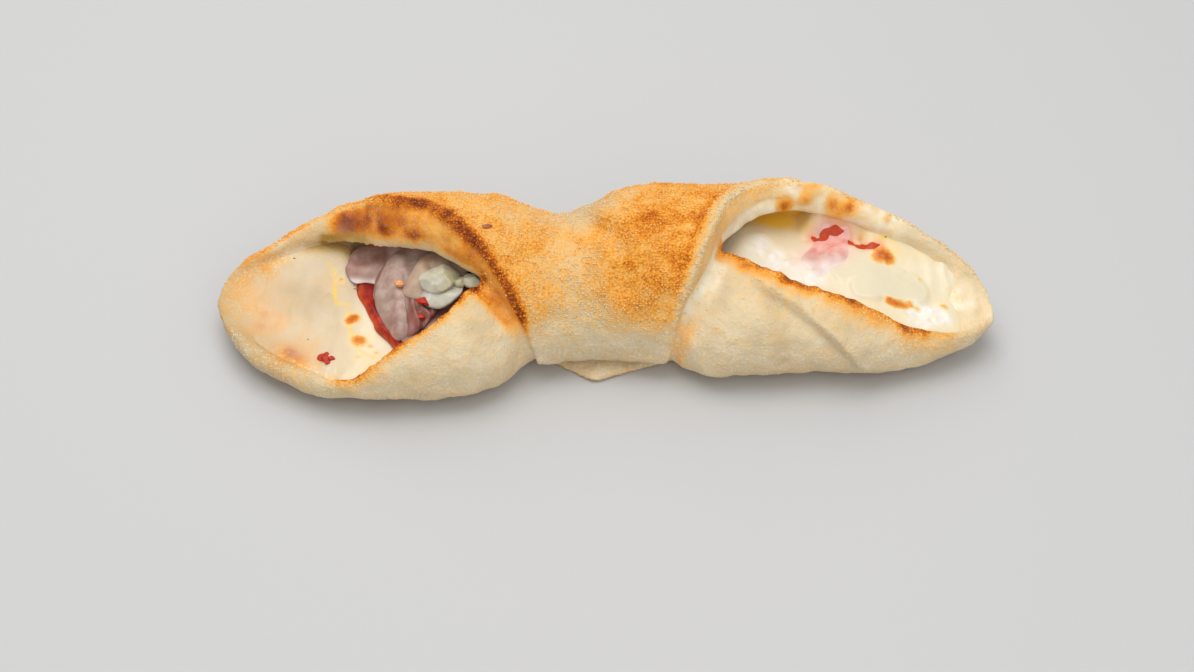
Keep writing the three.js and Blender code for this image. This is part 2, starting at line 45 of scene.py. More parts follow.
EYE = (0.00276, -0.50514, 0.51570)
LOOK_LEFT = 0.630             # degrees to the left of straight back
LOOK_DOWN = 45.719            # degrees below the horizon
LEAN = 1.156                  # degrees anticlockwise


def stand_camera():
    """Camera at EYE: tilted down, turned left about the upright axis, then leaned about its own."""
    data = bpy.data.cameras.new("eye")
    data.sensor_width = SENSOR_WIDTH
    data.lens = SENSOR_WIDTH * FOCAL_PIXELS / PICTURE_WIDTH
    camera = bpy.data.objects.new("eye", data)
    turn = Matrix.Rotation(np.radians(LOOK_LEFT), 4, "Z")
    tilt = Matrix.Rotation(np.radians(90 - LOOK_DOWN), 4, "X")
    lean = Matrix.Rotation(np.radians(LEAN), 4, "Z")
    camera.matrix_world = Matrix.Translation(EYE) @ turn @ tilt @ lean
    bpy.context.collection.objects.link(camera)
    bpy.context.scene.camera = camera


stand_camera()

# ---------------------------------------------------------------- table and light
# A plain pale table top, matt and even, under a wide soft panel overhead, with a weaker one like a
# window behind the food, a third in front, and the light of a pale room.
TABLE_SIZE = 6.0
TABLE_COLOUR = (0.56, 0.56, 0.56, 1)
TABLE_ROUGHNESS = 0.8
ROOM_LIGHT = 0.50
PANELS = {                    # place in metres, size, watts, colour
    "ceiling": ((-0.15, 0.10, 1.15), 1.0, 8.6, (1.0, 0.99, 0.98)),
    "window": ((-0.35, 1.05, 0.85), 0.7, 2.4, (1.0, 1.0, 1.0)),
    "front_fill": ((0.4, -0.9, 0.9), 1.0, 3.6, (1.0, 1.0, 1.0)),
}


def new_material(name):
    """A material, its node tree and its shader."""
    material = bpy.data.materials.new(name)
    material.use_nodes = True
    tree = material.node_tree
    return material, tree, tree.nodes["Principled BSDF"]


def plug(tree, node, **sockets):
    """Sets sockets of a node to values, or links them to outputs.  A socket's name is written with _
    for its spaces, and a socket that is known by its number as _0, _1 and so on."""
    for name, value in sockets.items():
        key = int(name[1:]) if name[0] == "_" else name.replace("_", " ")
        if isinstance(value, bpy.types.NodeSocket):
            tree.links.new(value, node.inputs[key])
        else:
            node.inputs[key].default_value = value


def lay_table():
    """One flat square of TABLE_SIZE, with its top at the height that the calzone lies on."""
    half = TABLE_SIZE / 2
    mesh = bpy.data.meshes.new("table")
    corners = [(-half, -half, 0), (half, -half, 0), (half, half, 0), (-half, half, 0)]
    mesh.from_pydata(corners, [], [(0, 1, 2, 3)])
    material, tree, shader = new_material("table_top")
    plug(tree, shader, Base_Color=TABLE_COLOUR, Roughness=TABLE_ROUGHNESS)
    mesh.materials.append(material)
    table = bpy.data.objects.new("table", mesh)
    bpy.context.collection.objects.link(table)


def hang_panel(name, place, size, watts, colour):
    """A square lamp at its place, turned to face the calzone."""
    data = bpy.data.lights.new(name, "AREA")
    data.size = size
    data.energy = watts
    data.color = colour
    panel = bpy.data.objects.new(name, data)
    panel.location = place
    panel.rotation_euler = (-Vector(place)).to_track_quat("-Z", "Y").to_euler()
    bpy.context.collection.objects.link(panel)


lay_table()
for panel_name, values in PANELS.items():
    hang_panel(panel_name, *values)
world = bpy.data.worlds.new("room")
world.use_nodes = True
plug(world.node_tree, world.node_tree.nodes["Background"], Color=(1, 1, 1, 1), Strength=ROOM_LIGHT)
bpy.context.scene.world = world
bpy.context.scene.view_settings.view_transform = "Standard"

# ---------------------------------------------------------------- dough
# One sheet of wheat dough, folded into a long boat round the fillings.  Its back corner is drawn
# over the middle as a band and tucked under the front; the oven has browned whatever stands proud.
MM = 0.001
HALF_LENGTH = 139
TIP_ROUND = 15                # length over which each tip is rounded off
TIP_HEIGHT = (13, 14.5)       # height of the left and of the right tip point
KEEL_Y = 1.75                 # from the middle of the box in plan to the line the tables start from
BELLY_POWER = 2.6             # roundness of the underside's corners
CROWN_POWER = 2.15            # roundness of the walls above the belly
BAND_FOOT = 10                # height at which the band's front stands furthest out
BAND_TOE = 1                  # height that the band's end would curl under to
LIP_REACH = 11                # width of dough over which the free edge swells
RING_POINTS = 260             # points round each section of the trough and of the back sheet
VOXEL = 1.05                  # mesh width of the dough's skin
TONGUE_FILM = 2.0             # thickness of the melted cheese on the open tongues
LEFT_TONGUE = (-88, 12)       # where the open tongue at the left begins, and over what length
RIGHT_TONGUE = (80, 16)
CALM = (-97, 104)             # beyond these the sheet closes up smoothly

# Lines of the boat: each is a list of (x, value) stations joined by a smooth curve.
LINES = {
    # plan of the belly: its front and its back, and the height at which each is widest
    "frontY": ((-139, -7), (-130, -20), (-120, -30), (-104, -38.7), (-88, -43), (-74, -43.5), (-60, -42),
               (-46, -39.5), (-36, -33), (-26, -22), (-12, -16), (10, -15), (20, -17), (28, -22),
               (38, -26.5), (50, -27), (68, -25), (94, -22.5), (115, -17), (130, -9.5), (139, -2)),
    "backY": ((-139, 11), (-122, 22), (-104, 32.5), (-88, 37), (-60, 38.5), (-35, 38), (-17, 36),
              (-6, 38.5), (6, 44), (30, 47), (58, 47), (80, 45), (100, 38.5), (118, 31), (130, 22.5),
              (139, 15)),
    "frontZ": ((-139, 12), (-104, 11), (-70, 13), (70, 13), (115, 12), (139, 12)),
    "backZ": ((-139, 14), (-104, 15), (-70, 17), (70, 18), (115, 15), (139, 14)),
    "underZ": ((-139, 8), (-124, 3.5), (-106, -0.1), (-94, -0.9), (96, -0.9), (108, -0.2), (124, 3),
               (139, 7)),
    # free edge of the front flaps, which climb from each tip and pass under the band
    "flapY": ((-139, -8), (-120, -24), (-104, -34), (-90, -39.5), (-83, -39), (-70, -32.8), (-56, -22.8),
              (-47, -12), (-34, 2), (0, 10), (30, 13), (44, 7.4), (68, -2.7), (92, -8.5), (105, -12.4),
              (120, -11.5), (139, -3)),
    "flapZ": ((-139, 14), (-104, 14), (-90, 15), (-70, 25), (-56, 31), (-47, 34), (-30, 31), (0, 28),
              (30, 33), (44, 36), (68, 33), (92, 27), (105, 22), (118, 18), (139, 14)),
    # crown of the back sheet, the front of the band, and how far the sheet turns over (degrees)
    "crownY": ((-139, 5), (-125, 12), (-104, 22.5), (-88, 21), (-70, 14), (-45, 8), (-17, 9), (10, 14),
               (35, 15), (58, 21), (80, 28), (104, 26), (125, 18), (139, 10)),
    "crownZ": ((-139, 18), (-128, 22), (-114, 26), (-102, 30.5), (-89, 37.3), (-72, 45.5), (-56, 48),
               (-42, 48), (-30, 44.5), (-17, 39.5), (-7, 41), (2, 47), (10, 49), (45, 49), (62, 48.5),
               (75, 45.5), (90, 39.5), (104, 34.5), (120, 28), (132, 23), (139, 19)),
    "bandY": ((-139, -16), (-70, -30), (-45, -28), (-32, -27), (-21, -24.5), (-2, -20), (12, -21),
              (22, -22), (45, -26), (80, -10), (139, -5)),
    "turn": ((-139, 55), (-122, 64), (-100, 71), (-80, 81), (-62, 87), (-48, 103), (-36, 128),
             (-27, 156), (-24, 176), (-20, 207), (-12, 214), (10, 212), (18, 206), (22, 188), (25, 158),
             (28, 140), (31, 127), (34, 112), (42, 84), (50, 70), (60, 62), (90, 64), (120, 62), (139, 55)),
    # thickness of the dough: the walls, the swollen free edge of the back sheet, the flaps
    "wallT": ((-139, 4), (-128, 7), (-90, 7), (-65, 6.5), (-40, 5), (-22, 4), (22, 3.5), (40, 4.5),
              (60, 6.5), (90, 7), (128, 7), (139, 4)),
    "edgeT": ((-139, 3.5), (-122, 4.5), (-108, 7), (-95, 12.5), (-80, 16.5), (-66, 16.5), (-52, 15),
              (-42, 13), (-34, 11), (-28, 8), (-22, 4), (14, 4), (20, 6), (28, 10), (36, 13.5),
              (44, 14.5), (52, 13), (60, 11.5), (70, 11), (80, 10), (100, 8), (118, 6), (139, 4)),
    "flapT": ((-139, 4), (-130, 5), (-110, 6), (-85, 5), (-60, 4.5), (0, 3.5), (60, 4.5), (100, 5),
              (120, 6), (132, 5), (139, 4)),
    # how far the lower lip of the free edge leans out, and the height of the inner floor
    "leanT": ((-139, 0), (-112, 0), (-96, 4), (-85, 6.5), (-66, 7), (-50, 6), (-38, 5), (-30, 3), (-22, 0),
              (20, 0), (28, 3), (36, 6), (46, 6.5), (54, 4), (62, 1.5), (72, 0), (139, 0)),
    "floorZ": ((-139, 15), (-124, 16), (-110, 15.5), (-98, 14), (-84, 10.5), (-66, 7.5), (60, 7),
               (86, 9), (104, 12), (120, 15), (130, 16.5), (139, 16)),
    # how far the open tongues sag between the flap's edge and the back sheet's lip
    "sagT": ((-139, 1), (-120, 2.5), (-106, 4.5), (-96, 7.5), (-86, 12), (-60, 16), (80, 9), (96, 6),
             (112, 3.5), (128, 1.5), (139, 1)),
}


def smooth(stations, x):
    """Curve through (x, value) stations: cubic pieces whose slope at a station is the weighted
    harmonic mean of the rises on either side, and 0 where they differ in sign, so none overshoots."""
    places, values = np.array(stations, float).T
    width = np.diff(places)
    rise = np.diff(values) / width
    slope = np.concatenate([rise[:1], np.zeros(len(places) - 2), rise[-1:]])
    before, after = 2 * width[1:] + width[:-1], width[1:] + 2 * width[:-1]
    same = rise[:-1] * rise[1:] > 0
    safe = np.where(rise == 0, 1, rise)
    slope[1:-1] = np.where(same, (before + after) / (before / safe[:-1] + after / safe[1:]), 0)
    at = np.clip(x, places[0], places[-1])
    i = np.clip(np.searchsorted(places, at, side="right") - 1, 0, len(places) - 2)
    t = (at - places[i]) / width[i]
    return ((2 * t**3 - 3 * t**2 + 1) * values[i] + (t**3 - 2 * t**2 + t) * width[i] * slope[i]
            + (3 * t**2 - 2 * t**3) * values[i + 1] + (t**3 - t**2) * width[i] * slope[i + 1])


def ease(v):
    """0 below 0, 1 above 1, and 3v^2 - 2v^3 between."""
    v = np.clip(v, 0, 1)
    return v * v * (3 - 2 * v)


def bell(v):
    """exp(-v^2)"""
    return np.exp(-np.square(v))


def mix(a, b, t):
    """a at t = 0 and b at t = 1, straight between them."""
    return a + (b - a) * t


def lines_at(x):
    """All of the boat's lines at x, in millimetres.  Over the last TIP_ROUND a blunt quarter round
    scales plan lines and thicknesses to nothing and draws heights to the tip point."""
    past = np.clip((np.abs(x) - (HALF_LENGTH - TIP_ROUND)) / TIP_ROUND, 0, 1)
    factor = (1 - past**3.2) ** (1 / 3.2)
    tip = np.where(x < 0, *TIP_HEIGHT)
    line = {}
    for name, stations in LINES.items():
        value = smooth(stations, x)
        if name[-1] == "Y":
            line[name] = value * factor - KEEL_Y
        elif name[-1] == "T":
            line[name] = value * factor
        elif name[-1] == "Z":
            line[name] = tip + (value - tip) * factor
        else:
            line[name] = value
    return line


def quarter(y0, z0, y1, z1, power, t):
    """Quarter of a superellipse from (y0, z0), its widest point, to (y1, z1), its top or bottom."""
    cos, sin = np.cos(t * np.pi / 2).clip(0), np.sin(t * np.pi / 2)
    return np.stack([y1 + (y0 - y1) * cos ** (2 / power), z0 + (z1 - z0) * sin ** (2 / power)], -1)


def back_sheet(line, s):
    """Outer face of the back sheet at part s of its turn: up the wall, over the crown and down the
    band.  Each quarter is a superellipse between the boat's lines."""
    angle = np.radians(line["turn"] * s)
    across, up = np.cos(angle), np.sin(angle)
    half_y = np.where(across > 0, line["backY"] - line["crownY"], line["crownY"] - line["bandY"])
    middle = np.where(across > 0, line["backZ"], BAND_FOOT)
    half_z = np.where(up > 0, line["crownZ"] - middle, middle - BAND_TOE)
    power = 2 / CROWN_POWER
    return np.stack([line["crownY"] + half_y * np.sign(across) * np.abs(across) ** power,
                     middle + half_z * np.sign(up) * np.abs(up) ** power], -1)


def offset(points, depth, reach=0.0):
    """Sections moved to their left by depth and onwards along themselves by reach."""
    ends = np.concatenate([points[:, :1], points, points[:, -1:]], 1)
    along = ends[:, 2:] - ends[:, :-2]
    along = along / np.linalg.norm(along, axis=-1, keepdims=True).clip(1e-6)
    left = np.stack([-along[..., 1], along[..., 0]], -1)
    return points + left * np.asarray(depth)[..., None] + along * np.asarray(reach)[..., None]


def finer(points, count):
    """Sections with count points each: cubic curves through the given points, whose direction at a
    point is that from the one before it to the one after it."""
    p = np.concatenate([2 * points[:, :1] - points[:, 1:2], points, 2 * points[:, -1:] - points[:, -2:-1]], 1)
    place = np.linspace(0, points.shape[1] - 1, count)
    i = np.minimum(place.astype(int), points.shape[1] - 2)
    t = (place - i)[:, None]
    a, b, c, d = p[:, i], p[:, i + 1], p[:, i + 2], p[:, i + 3]
    return 0.5 * (2 * b + (c - a) * t + (2 * a - 5 * b + 4 * c - d) * t**2 + (3 * b - a - 3 * c + d) * t**3)


def rounded_off(sections, radius):
    """Closed sections with RING_POINTS evenly spaced points, blurred along their length by a bell of
    about the given radius, so that no lip ends in a sharp fin.  Short sections are blurred less."""
    closed = np.concatenate([sections, sections[:, :1]], 1)
    run = np.linalg.norm(np.diff(closed, axis=1), axis=-1).cumsum(1)
    run = np.concatenate([0 * run[:, :1], run], 1)
    length = run[:, -1:]
    even = length * np.arange(RING_POINTS)[None] / RING_POINTS
    spread = np.stack([[np.interp(e, r, c[:, axis]) for e, r, c in zip(even, run, closed)]
                       for axis in (0, 1)], -1)
    width = np.minimum(radius, length / 90) * RING_POINTS / length
    keep = np.exp(-2 * (np.pi * np.fft.fftfreq(RING_POINTS)[None] * width) ** 2)
    return np.fft.ifft(np.fft.fft(spread, axis=1) * keep[..., None], axis=1).real


def wrap_sections(x):
    """Back sheet and band at each x: the outer face, the swollen free edge with its ridge and its
    leaning lip, then the inner face.  Returns closed sections, and the ridge and the lip lines."""
    line = lines_at(x[:, None])
    outer = back_sheet(line, 1 - (1 - np.linspace(0, 1, 15)) ** 1.25)
    step = np.linalg.norm(np.diff(outer, axis=1), axis=-1)
    rest = np.concatenate([np.cumsum(step[:, ::-1], 1)[:, ::-1], np.zeros((len(x), 1))], 1)
    depth = mix(line["wallT"], line["edgeT"], bell(rest / LIP_REACH))
    inner = finer(offset(outer, depth, line["leanT"] * bell(rest / 12)), 90)[:, ::-1]
    ridge = 0.16 * np.clip(line["edgeT"] - 4.5, 0, 8) * bell((rest - 3) / 4)
    face = finer(offset(outer, -ridge), 90)
    t = np.arange(1, 12)[None, :, None] / 12
    bulge = 0.16 * np.sin(np.pi * t)
    chord = inner[:, :1] - face[:, -1:]
    cap = face[:, -1:] + chord * t + np.stack([chord[..., 1], -chord[..., 0]], -1) * bulge
    return np.concatenate([face, cap, inner], 1), face[:, -2], inner[:, 0]


def on_tongue(x):
    """1 on the two open tongues, 0 between them."""
    (left, left_over), (right, right_over) = LEFT_TONGUE, RIGHT_TONGUE
    return np.maximum(ease((left - x) / left_over), ease((x - right) / right_over))


def film_depth(x):
    """How deep the film lies in the tongues: nothing at the very tips."""
    return TONGUE_FILM * ease((HALF_LENGTH - 6 - np.abs(x)) / 16)


def tongue_z(line, y):
    """Height of an open tongue: straight across from the front flap's edge to the lip of the back
    sheet, less a sag of 4w(1-w)."""
    w = np.clip((y - line["flapY"]) / (line["crownY"] + 2 - line["flapY"]).clip(1), 0, 1)
    return mix(line["flapZ"] - 0.5, line["crownZ"] - 0.9 * line["edgeT"], w) - 4 * line["sagT"] * w * (1 - w)


def hull_sections(x):
    """Trough of the boat at each x: front flap, belly, the stub of the back wall that the back sheet
    grows from, and the floor: a dished curve w -> chord - dish (4w(1-w))^(1/3), and on the tongues
    the tongue's own surface."""
    line = lines_at(x[:, None])
    fine = np.linspace(0, 1, 26)
    middle = (line["frontY"] + line["backY"]) / 2
    flap = quarter(line["frontY"], line["frontZ"], line["flapY"], line["flapZ"], CROWN_POWER, fine[::-1])
    front = quarter(line["frontY"], line["frontZ"], middle, line["underZ"], BELLY_POWER, fine[1:])
    back = quarter(line["backY"], line["backZ"], middle, line["underZ"], BELLY_POWER, fine[-2::-1])
    stub = back_sheet(line, 0.25 * fine[2::4])
    stub_inner = offset(stub, line["wallT"] * 0.98)[:, ::-1]
    inner = offset(flap, line["flapT"] * mix(0.6, 1, fine))[:, ::-1]
    slope_y = line["flapY"] + 4 * (1 - fine)
    slope = np.stack([slope_y, tongue_z(line, slope_y) - film_depth(x[:, None]) * (1 - fine)], -1)
    inner = mix(inner, slope, on_tongue(x)[:, None, None])
    w = (1 - np.cos(np.pi * np.linspace(0, 1, 34)[1:-1])) / 2
    heel_y, heel_z = line["backY"] - line["wallT"], line["backZ"]
    chord = mix(heel_z, inner[:, :1, 1], w)
    dish = np.clip(chord - line["floorZ"], 0, None) * (2 * np.sqrt(w * (1 - w))) ** (2 / 3)
    y = mix(heel_y, inner[:, :1, 0], w)
    tongue = np.maximum(chord - dish, tongue_z(line, y) - film_depth(x[:, None]))
    floor = np.stack([y, mix(chord - dish, tongue, on_tongue(x[:, None]))], -1)
    return np.concatenate([flap, front, back, stub, stub_inner, floor, inner], 1)


def along_boat(x, sections):
    """Sections of (y, z) set at their x as rows of (x, y, z) points."""
    across = np.broadcast_to(x[:, None, None], sections.shape[:2] + (1,))
    return np.concatenate([across, sections], -1)


def closed_tube(rings):
    """Points and faces of a tube of closed rings, shut by a fan round the middle of each end ring,
    and turned so that the volume inside comes out positive and the faces look outwards."""
    rows, columns = rings.shape[:2]
    points = np.concatenate([rings.reshape(-1, 3), rings[0].mean(0)[None], rings[-1].mean(0)[None]])
    r, c = np.meshgrid(np.arange(rows - 1), np.arange(columns), indexing="ij")
    n = (c + 1) % columns
    quads = np.stack([r * columns + c, r * columns + n, (r + 1) * columns + n, (r + 1) * columns + c], -1)
    quads = quads.reshape(-1, 4)
    c = np.arange(columns)
    n = (c + 1) % columns
    last = (rows - 1) * columns
    first_pole, last_pole = np.full(columns, rows * columns), np.full(columns, rows * columns + 1)
    fans = np.concatenate([np.stack([first_pole, n, c], -1), np.stack([last_pole, last + c, last + n], -1)])
    a, b, d = points[quads[:, 0]], points[quads[:, 1]], points[quads[:, 2]]
    e = points[quads[:, 3]]
    volume = (np.cross(a, b) * d).sum() + (np.cross(a, d) * e).sum()
    if volume < 0:
        quads, fans = quads[:, ::-1], fans[:, ::-1]
    return points, quads.tolist() + fans.tolist()


def closed_slab(top, bottom):
    """Points and faces of a top and an underside, two nets of equal shape, joined round their rim."""
    rows, columns = top.shape[:2]
    points = np.concatenate([top.reshape(-1, 3), bottom.reshape(-1, 3)])
    number = np.arange(rows * columns).reshape(rows, columns)
    quads = np.stack([number[:-1, :-1], number[1:, :-1], number[1:, 1:], number[:-1, 1:]], -1).reshape(-1, 4)
    rim = np.concatenate([number[:-1, 0], number[-1, :-1], number[:0:-1, -1], number[0, :0:-1]])
    after = np.roll(rim, -1)
    below = rows * columns
    sides = np.stack([rim, rim + below, after + below, after], -1)
    faces = np.concatenate([quads, quads[:, ::-1] + below, sides])
    a, b, c = points[quads[:, 0]], points[quads[:, 1]], points[quads[:, 2]]
    if np.cross(b - a, c - a)[:, 2].sum() < 0:
        faces = faces[:, ::-1]
    return points, faces.tolist()


TUCKED = {                    # corner under the band: each value at its root and at its tip
    "half width": (42, 2), "thickness": (4.5, 2), "x": (4, -3), "y": (-4, -23.5),
}
TUCKED_UNDERSIDE = 0.3


def tucked_corner():
    """Corner of the sheet drawn under the band: a flat tongue that tapers from a wide root inside the
    belly to a narrow tip, rounded along its sides, as rings across its length."""
    t = np.linspace(0, 1, 40)[:, None]
    turn = np.linspace(0, 2 * np.pi, 96, endpoint=False)[None]
    half, thick, middle_x, middle_y = (mix(*ends, t) for ends in TUCKED.values())
    across = np.cos(turn)
    top = TUCKED_UNDERSIDE + thick * (1 - 0.6 * np.abs(across) ** 4)
    z = np.where(np.sin(turn) > 0, top, TUCKED_UNDERSIDE)
    return np.stack([middle_x + half * across, middle_y - KEEL_Y + 0 * turn, z], -1)


def lumps(points, size, seed):
    """Smooth random field from -1 to 1 with lumps of about the given size: random values on a cubic
    net, blended between its corners by t^3 (6t^2 - 15t + 10).  The net is turned off the axes."""
    values = np.random.default_rng(seed).uniform(-1, 1, (24, 24, 24))
    turned = points @ np.array(Matrix.Rotation(0.9, 3, Vector((1, 2, 3)))).T
    cell = np.floor(turned / size).astype(int)
    t = turned / size - cell
    t = t**3 * (t * (6 * t - 15) + 10)
    total = 0
    for corner in np.ndindex(2, 2, 2):
        i, j, k = ((cell + corner) % 24).T
        total = total + np.prod(np.where(corner, t, 1 - t), axis=1) * values[i, j, k]
    return total


def distance_to(points, curve):
    """Distance from each point to the nearest of a curve's closely spaced points."""
    best = np.full(len(points), np.inf)
    for part in np.array_split(curve, max(1, len(curve) // 12)):
        apart = ((points[:, None] - part[None]) ** 2).sum(-1)
        best = np.minimum(best, apart.min(1))
    return np.sqrt(best)


def through(knots, count=60):
    """Points of a smooth curve through a few knots, each axis a smooth function of the knot number."""
    knots = np.array(knots, float)
    t = np.linspace(0, len(knots) - 1, count)
    return np.stack([smooth(list(enumerate(knots[:, axis])), t) for axis in range(knots.shape[1])], -1)


def near(points, place, reach):
    """A bell of the distance to a spot, or to the smooth curve through some knots: 1 on it, and
    exp(-1) at reach from it."""
    place = np.array(place, float)
    curve = through(place) if place.ndim > 1 else place[None]
    return bell(distance_to(points, curve) / reach)


def relaxed(points, edges, strength):
    """Each point moved part of the way to the average of its neighbours."""
    count = len(points)
    around = np.bincount(edges.ravel(), minlength=count)[:, None].clip(1)
    total = np.stack([np.bincount(edges[:, 0], points[edges[:, 1], axis], count)
                      + np.bincount(edges[:, 1], points[edges[:, 0], axis], count)
                      for axis in range(3)], -1)
    return points + strength * (total / around - points)


def new_object(name, points, faces):
    """Mesh object of points in millimetres, at the origin, shaded smooth."""
    mesh = bpy.data.meshes.new(name)
    mesh.from_pydata((np.asarray(points) * MM).tolist(), [], faces)
    mesh.update()
    piece = bpy.data.objects.new(name, mesh)
    bpy.context.collection.objects.link(piece)
    mesh.shade_smooth()
    return piece


def paint(mesh, **values):
    """Stores one number per vertex under each name, for the material to read."""
    for name, value in values.items():
        layer = mesh.attributes.new(name, "FLOAT", "POINT")
        layer.data.foreach_set("value", np.asarray(value, np.float32))


def fused(parts, voxel):
    """One skin round overlapping closed parts, as an even net with a mesh width of voxel mm."""
    points, faces = [], []
    start = 0
    for part_points, part_faces in parts:
        faces += [[i + start for i in face] for face in part_faces]
        points.append(part_points)
        start += len(part_points)
    rough = new_object("rough_dough", np.concatenate(points), faces)
    modifier = rough.modifiers.new("fuse", "REMESH")
    modifier.mode = "VOXEL"
    modifier.voxel_size = voxel * MM
    evaluated = rough.evaluated_get(bpy.context.evaluated_depsgraph_get())
    mesh = bpy.data.meshes.new_from_object(evaluated)
    bpy.data.objects.remove(rough)
    return mesh


def read_points(mesh, field="co"):
    """Three numbers per vertex: its place, or another field such as its normal."""
    values = np.empty(len(mesh.vertices) * 3)
    mesh.vertices.foreach_get(field, values)
    return values.reshape(-1, 3)


UNEVEN = ((16, 0.8, 3), (7, 0.45, 4), (3.2, 0.30, 5))   # lump size, height and seed of the skin

# Places on the dough, in millimetres: the valley along the band, the crease down the right belly, the
# pale dip behind the band, and the golden patch on the inner wall at the right
VALLEY = ((-9, 16, 41.5), (-2.6, 6.6, 43.9), (2, 2.1, 45.3), (5.7, -5.9, 43), (6.7, -14.5, 35.7))
BELLY_CREASE = ((51, -7.5, 35), (57.5, -11.5, 33.3), (64.8, -15.8, 31), (75.1, -21.3, 25.6), (84, -24, 18),
                (90, -25, 11))
SADDLE = (-8, 24, 39)
GOLDEN_WALL = ((50, 36, 29), (60, 38, 29), (68, 38, 29))
PLEATS = (                    # curve, depth, width of folds and dents in the skin
    (((-6, -24, 9.6), (6, -23.5, 12.4), (18, -23, 12)), -0.5, 1.2),
    (((121.5, 20, 19), (121, 16, 17.5), (122.5, 10, 16.5)), 0.9, 1.5),
    (((126.5, 15, 18), (125.5, 11, 16.5), (127, 5, 15.5)), 1.0, 1.6),
    (((131, 12, 17), (131.5, 6, 16), (131, 0, 15)), 0.8, 1.6),
    (((-34, -26, 26), (-44, -31, 22), (-56, -38, 16)), 0.5, 2.6),
    (((30, -24, 20), (36, -26, 12), (42, -27, 7)), 0.6, 2.4),
    (((39, -20, 27), (44, -24, 23), (48, -27, 17)), 0.45, 1.3),
    (((44, -18, 28.5), (49, -22, 25), (54, -26, 18)), 0.4, 1.2),
    (((62, -21, 24), (68, -24.5, 18), (73, -26, 11)), -0.6, 2.2),
    (((-60, -34, 24), (-70, -39, 19), (-82, -42, 13)), 0.4, 2.0),
)
# Blisters: centre, radius, height, how brown
BLISTERS = (
    ((-94.8, 20.4, 30.5), 4.2, 0.7, 0.16), ((-98.5, 20.8, 28.5), 3.0, 0.5, 0.14),
    ((-79.1, 12.0, 36.8), 2.6, 0.5, 0.18), ((-67.8, 5.0, 39.2), 3.2, 0.5, 0.20),
    ((-86, 17.0, 37.4), 2.6, 0.4, 0.18), ((-58, -2, 41.2), 2.6, 0.3, 0.14),
    ((-93, 18.5, 34.4), 4.5, 0.4, 0.14),
    ((62.6, 27.4, 39.4), 3.0, 1.0, 0.72), ((70.5, 29.8, 41.0), 2.8, 0.5, 0.32),
    ((81, 26.8, 34.6), 4.0, 1.3, 0.12), ((75.5, 32.0, 41.2), 1.8, 0.4, 0.18),
    ((80.1, 30.0, 38.2), 2.2, 0.5, 0.20), ((86.3, 30.4, 36.6), 2.4, 0.5, 0.32),
    ((100.3, 28.8, 32.4), 1.6, 0.5, 0.42),
    ((10.5, 11.1, 48.8), 4.0, 0.4, 0.08), ((17.1, 9.8, 48.7), 4.0, 0.4, 0.10),
    ((8.2, -8.3, 41.6), 2.8, 0.5, 0.10), ((13.5, -1.0, 46.5), 4.0, 0.4, 0.07),
    ((38.5, -22.6, 25.5), 1.2, 0.4, 0.40), ((-9.1, 4.3, 40.0), 1.2, 0.3, 0.25),
    ((-6.7, -4.9, 38.8), 1.2, 0.3, 0.22),
)
# Duller places: the left tip's own duller tan, and painted shade low on the bellies, in their
# folds, at the band's foot and in the dip behind the band: line, reach, how dull
DULL_AND_SHADE_LINES = (
    (((-128, 14, 18), (-136, 0, 14), (-128, -18, 13), (-112, -31, 12)), 9, 0.8),
    (((-10, 25, 38), (-6, 25, 38)), 9, 0.7), (((-14, -23, 10), (14, -23, 10)), 9, 0.5),
    (((57, -12, 31), (59, -20, 26), (62, -26, 17)), 4.5, 0.6),
    (((44, -27, 9), (60, -27, 8), (84, -24, 8)), 6, 0.5),
    (((76, -18, 26), (84, -21, 20), (92, -22, 13)), 5, 0.45),
    (((-56, -30, 27), (-62, -36, 22), (-66, -41, 14)), 5, 0.4),
)
# Patches baked darker: centre, radius, how much more
PATCHES = (
    ((-126, 11, 19), 10, 0.24), ((-112, 23, 25), 6, 0.20), ((-134, 0, 15), 9, 0.20),
    ((-120, -11, 13), 7, 0.42), ((-110, -22, 13), 8, 0.16), ((-124, -3, 13), 6, 0.10),
    ((-120, 8, 14), 7, 0.10), ((-104, -27, 13), 7, 0.20), ((-99, 6, 13), 5, 0.08),
    ((-108, -32, 12), 9, 0.20), ((81, 28.2, 33), 5, 0.22), ((120, -8, 16), 10, 0.12),
    ((133, 4, 15), 7, 0.12), ((-80, -36, 20), 9, 0.06),
)
# How far the upper part of the back sheet and the band are baked, along the boat
CROWN_TOAST = ((-139, 0.28), (-130, 0.38), (-118, 0.36), (-108, 0.24), (-96, 0.22), (-84, 0.30), (-70, 0.36),
               (-50, 0.32), (-30, 0.30), (-16, 0.25), (-9, 0.20), (-3, 0.26), (6, 0.33), (30, 0.43),
               (42, 0.31), (54, 0.18), (76, 0.15), (90, 0.10), (108, 0.07), (130, 0.09), (139, 0.12))


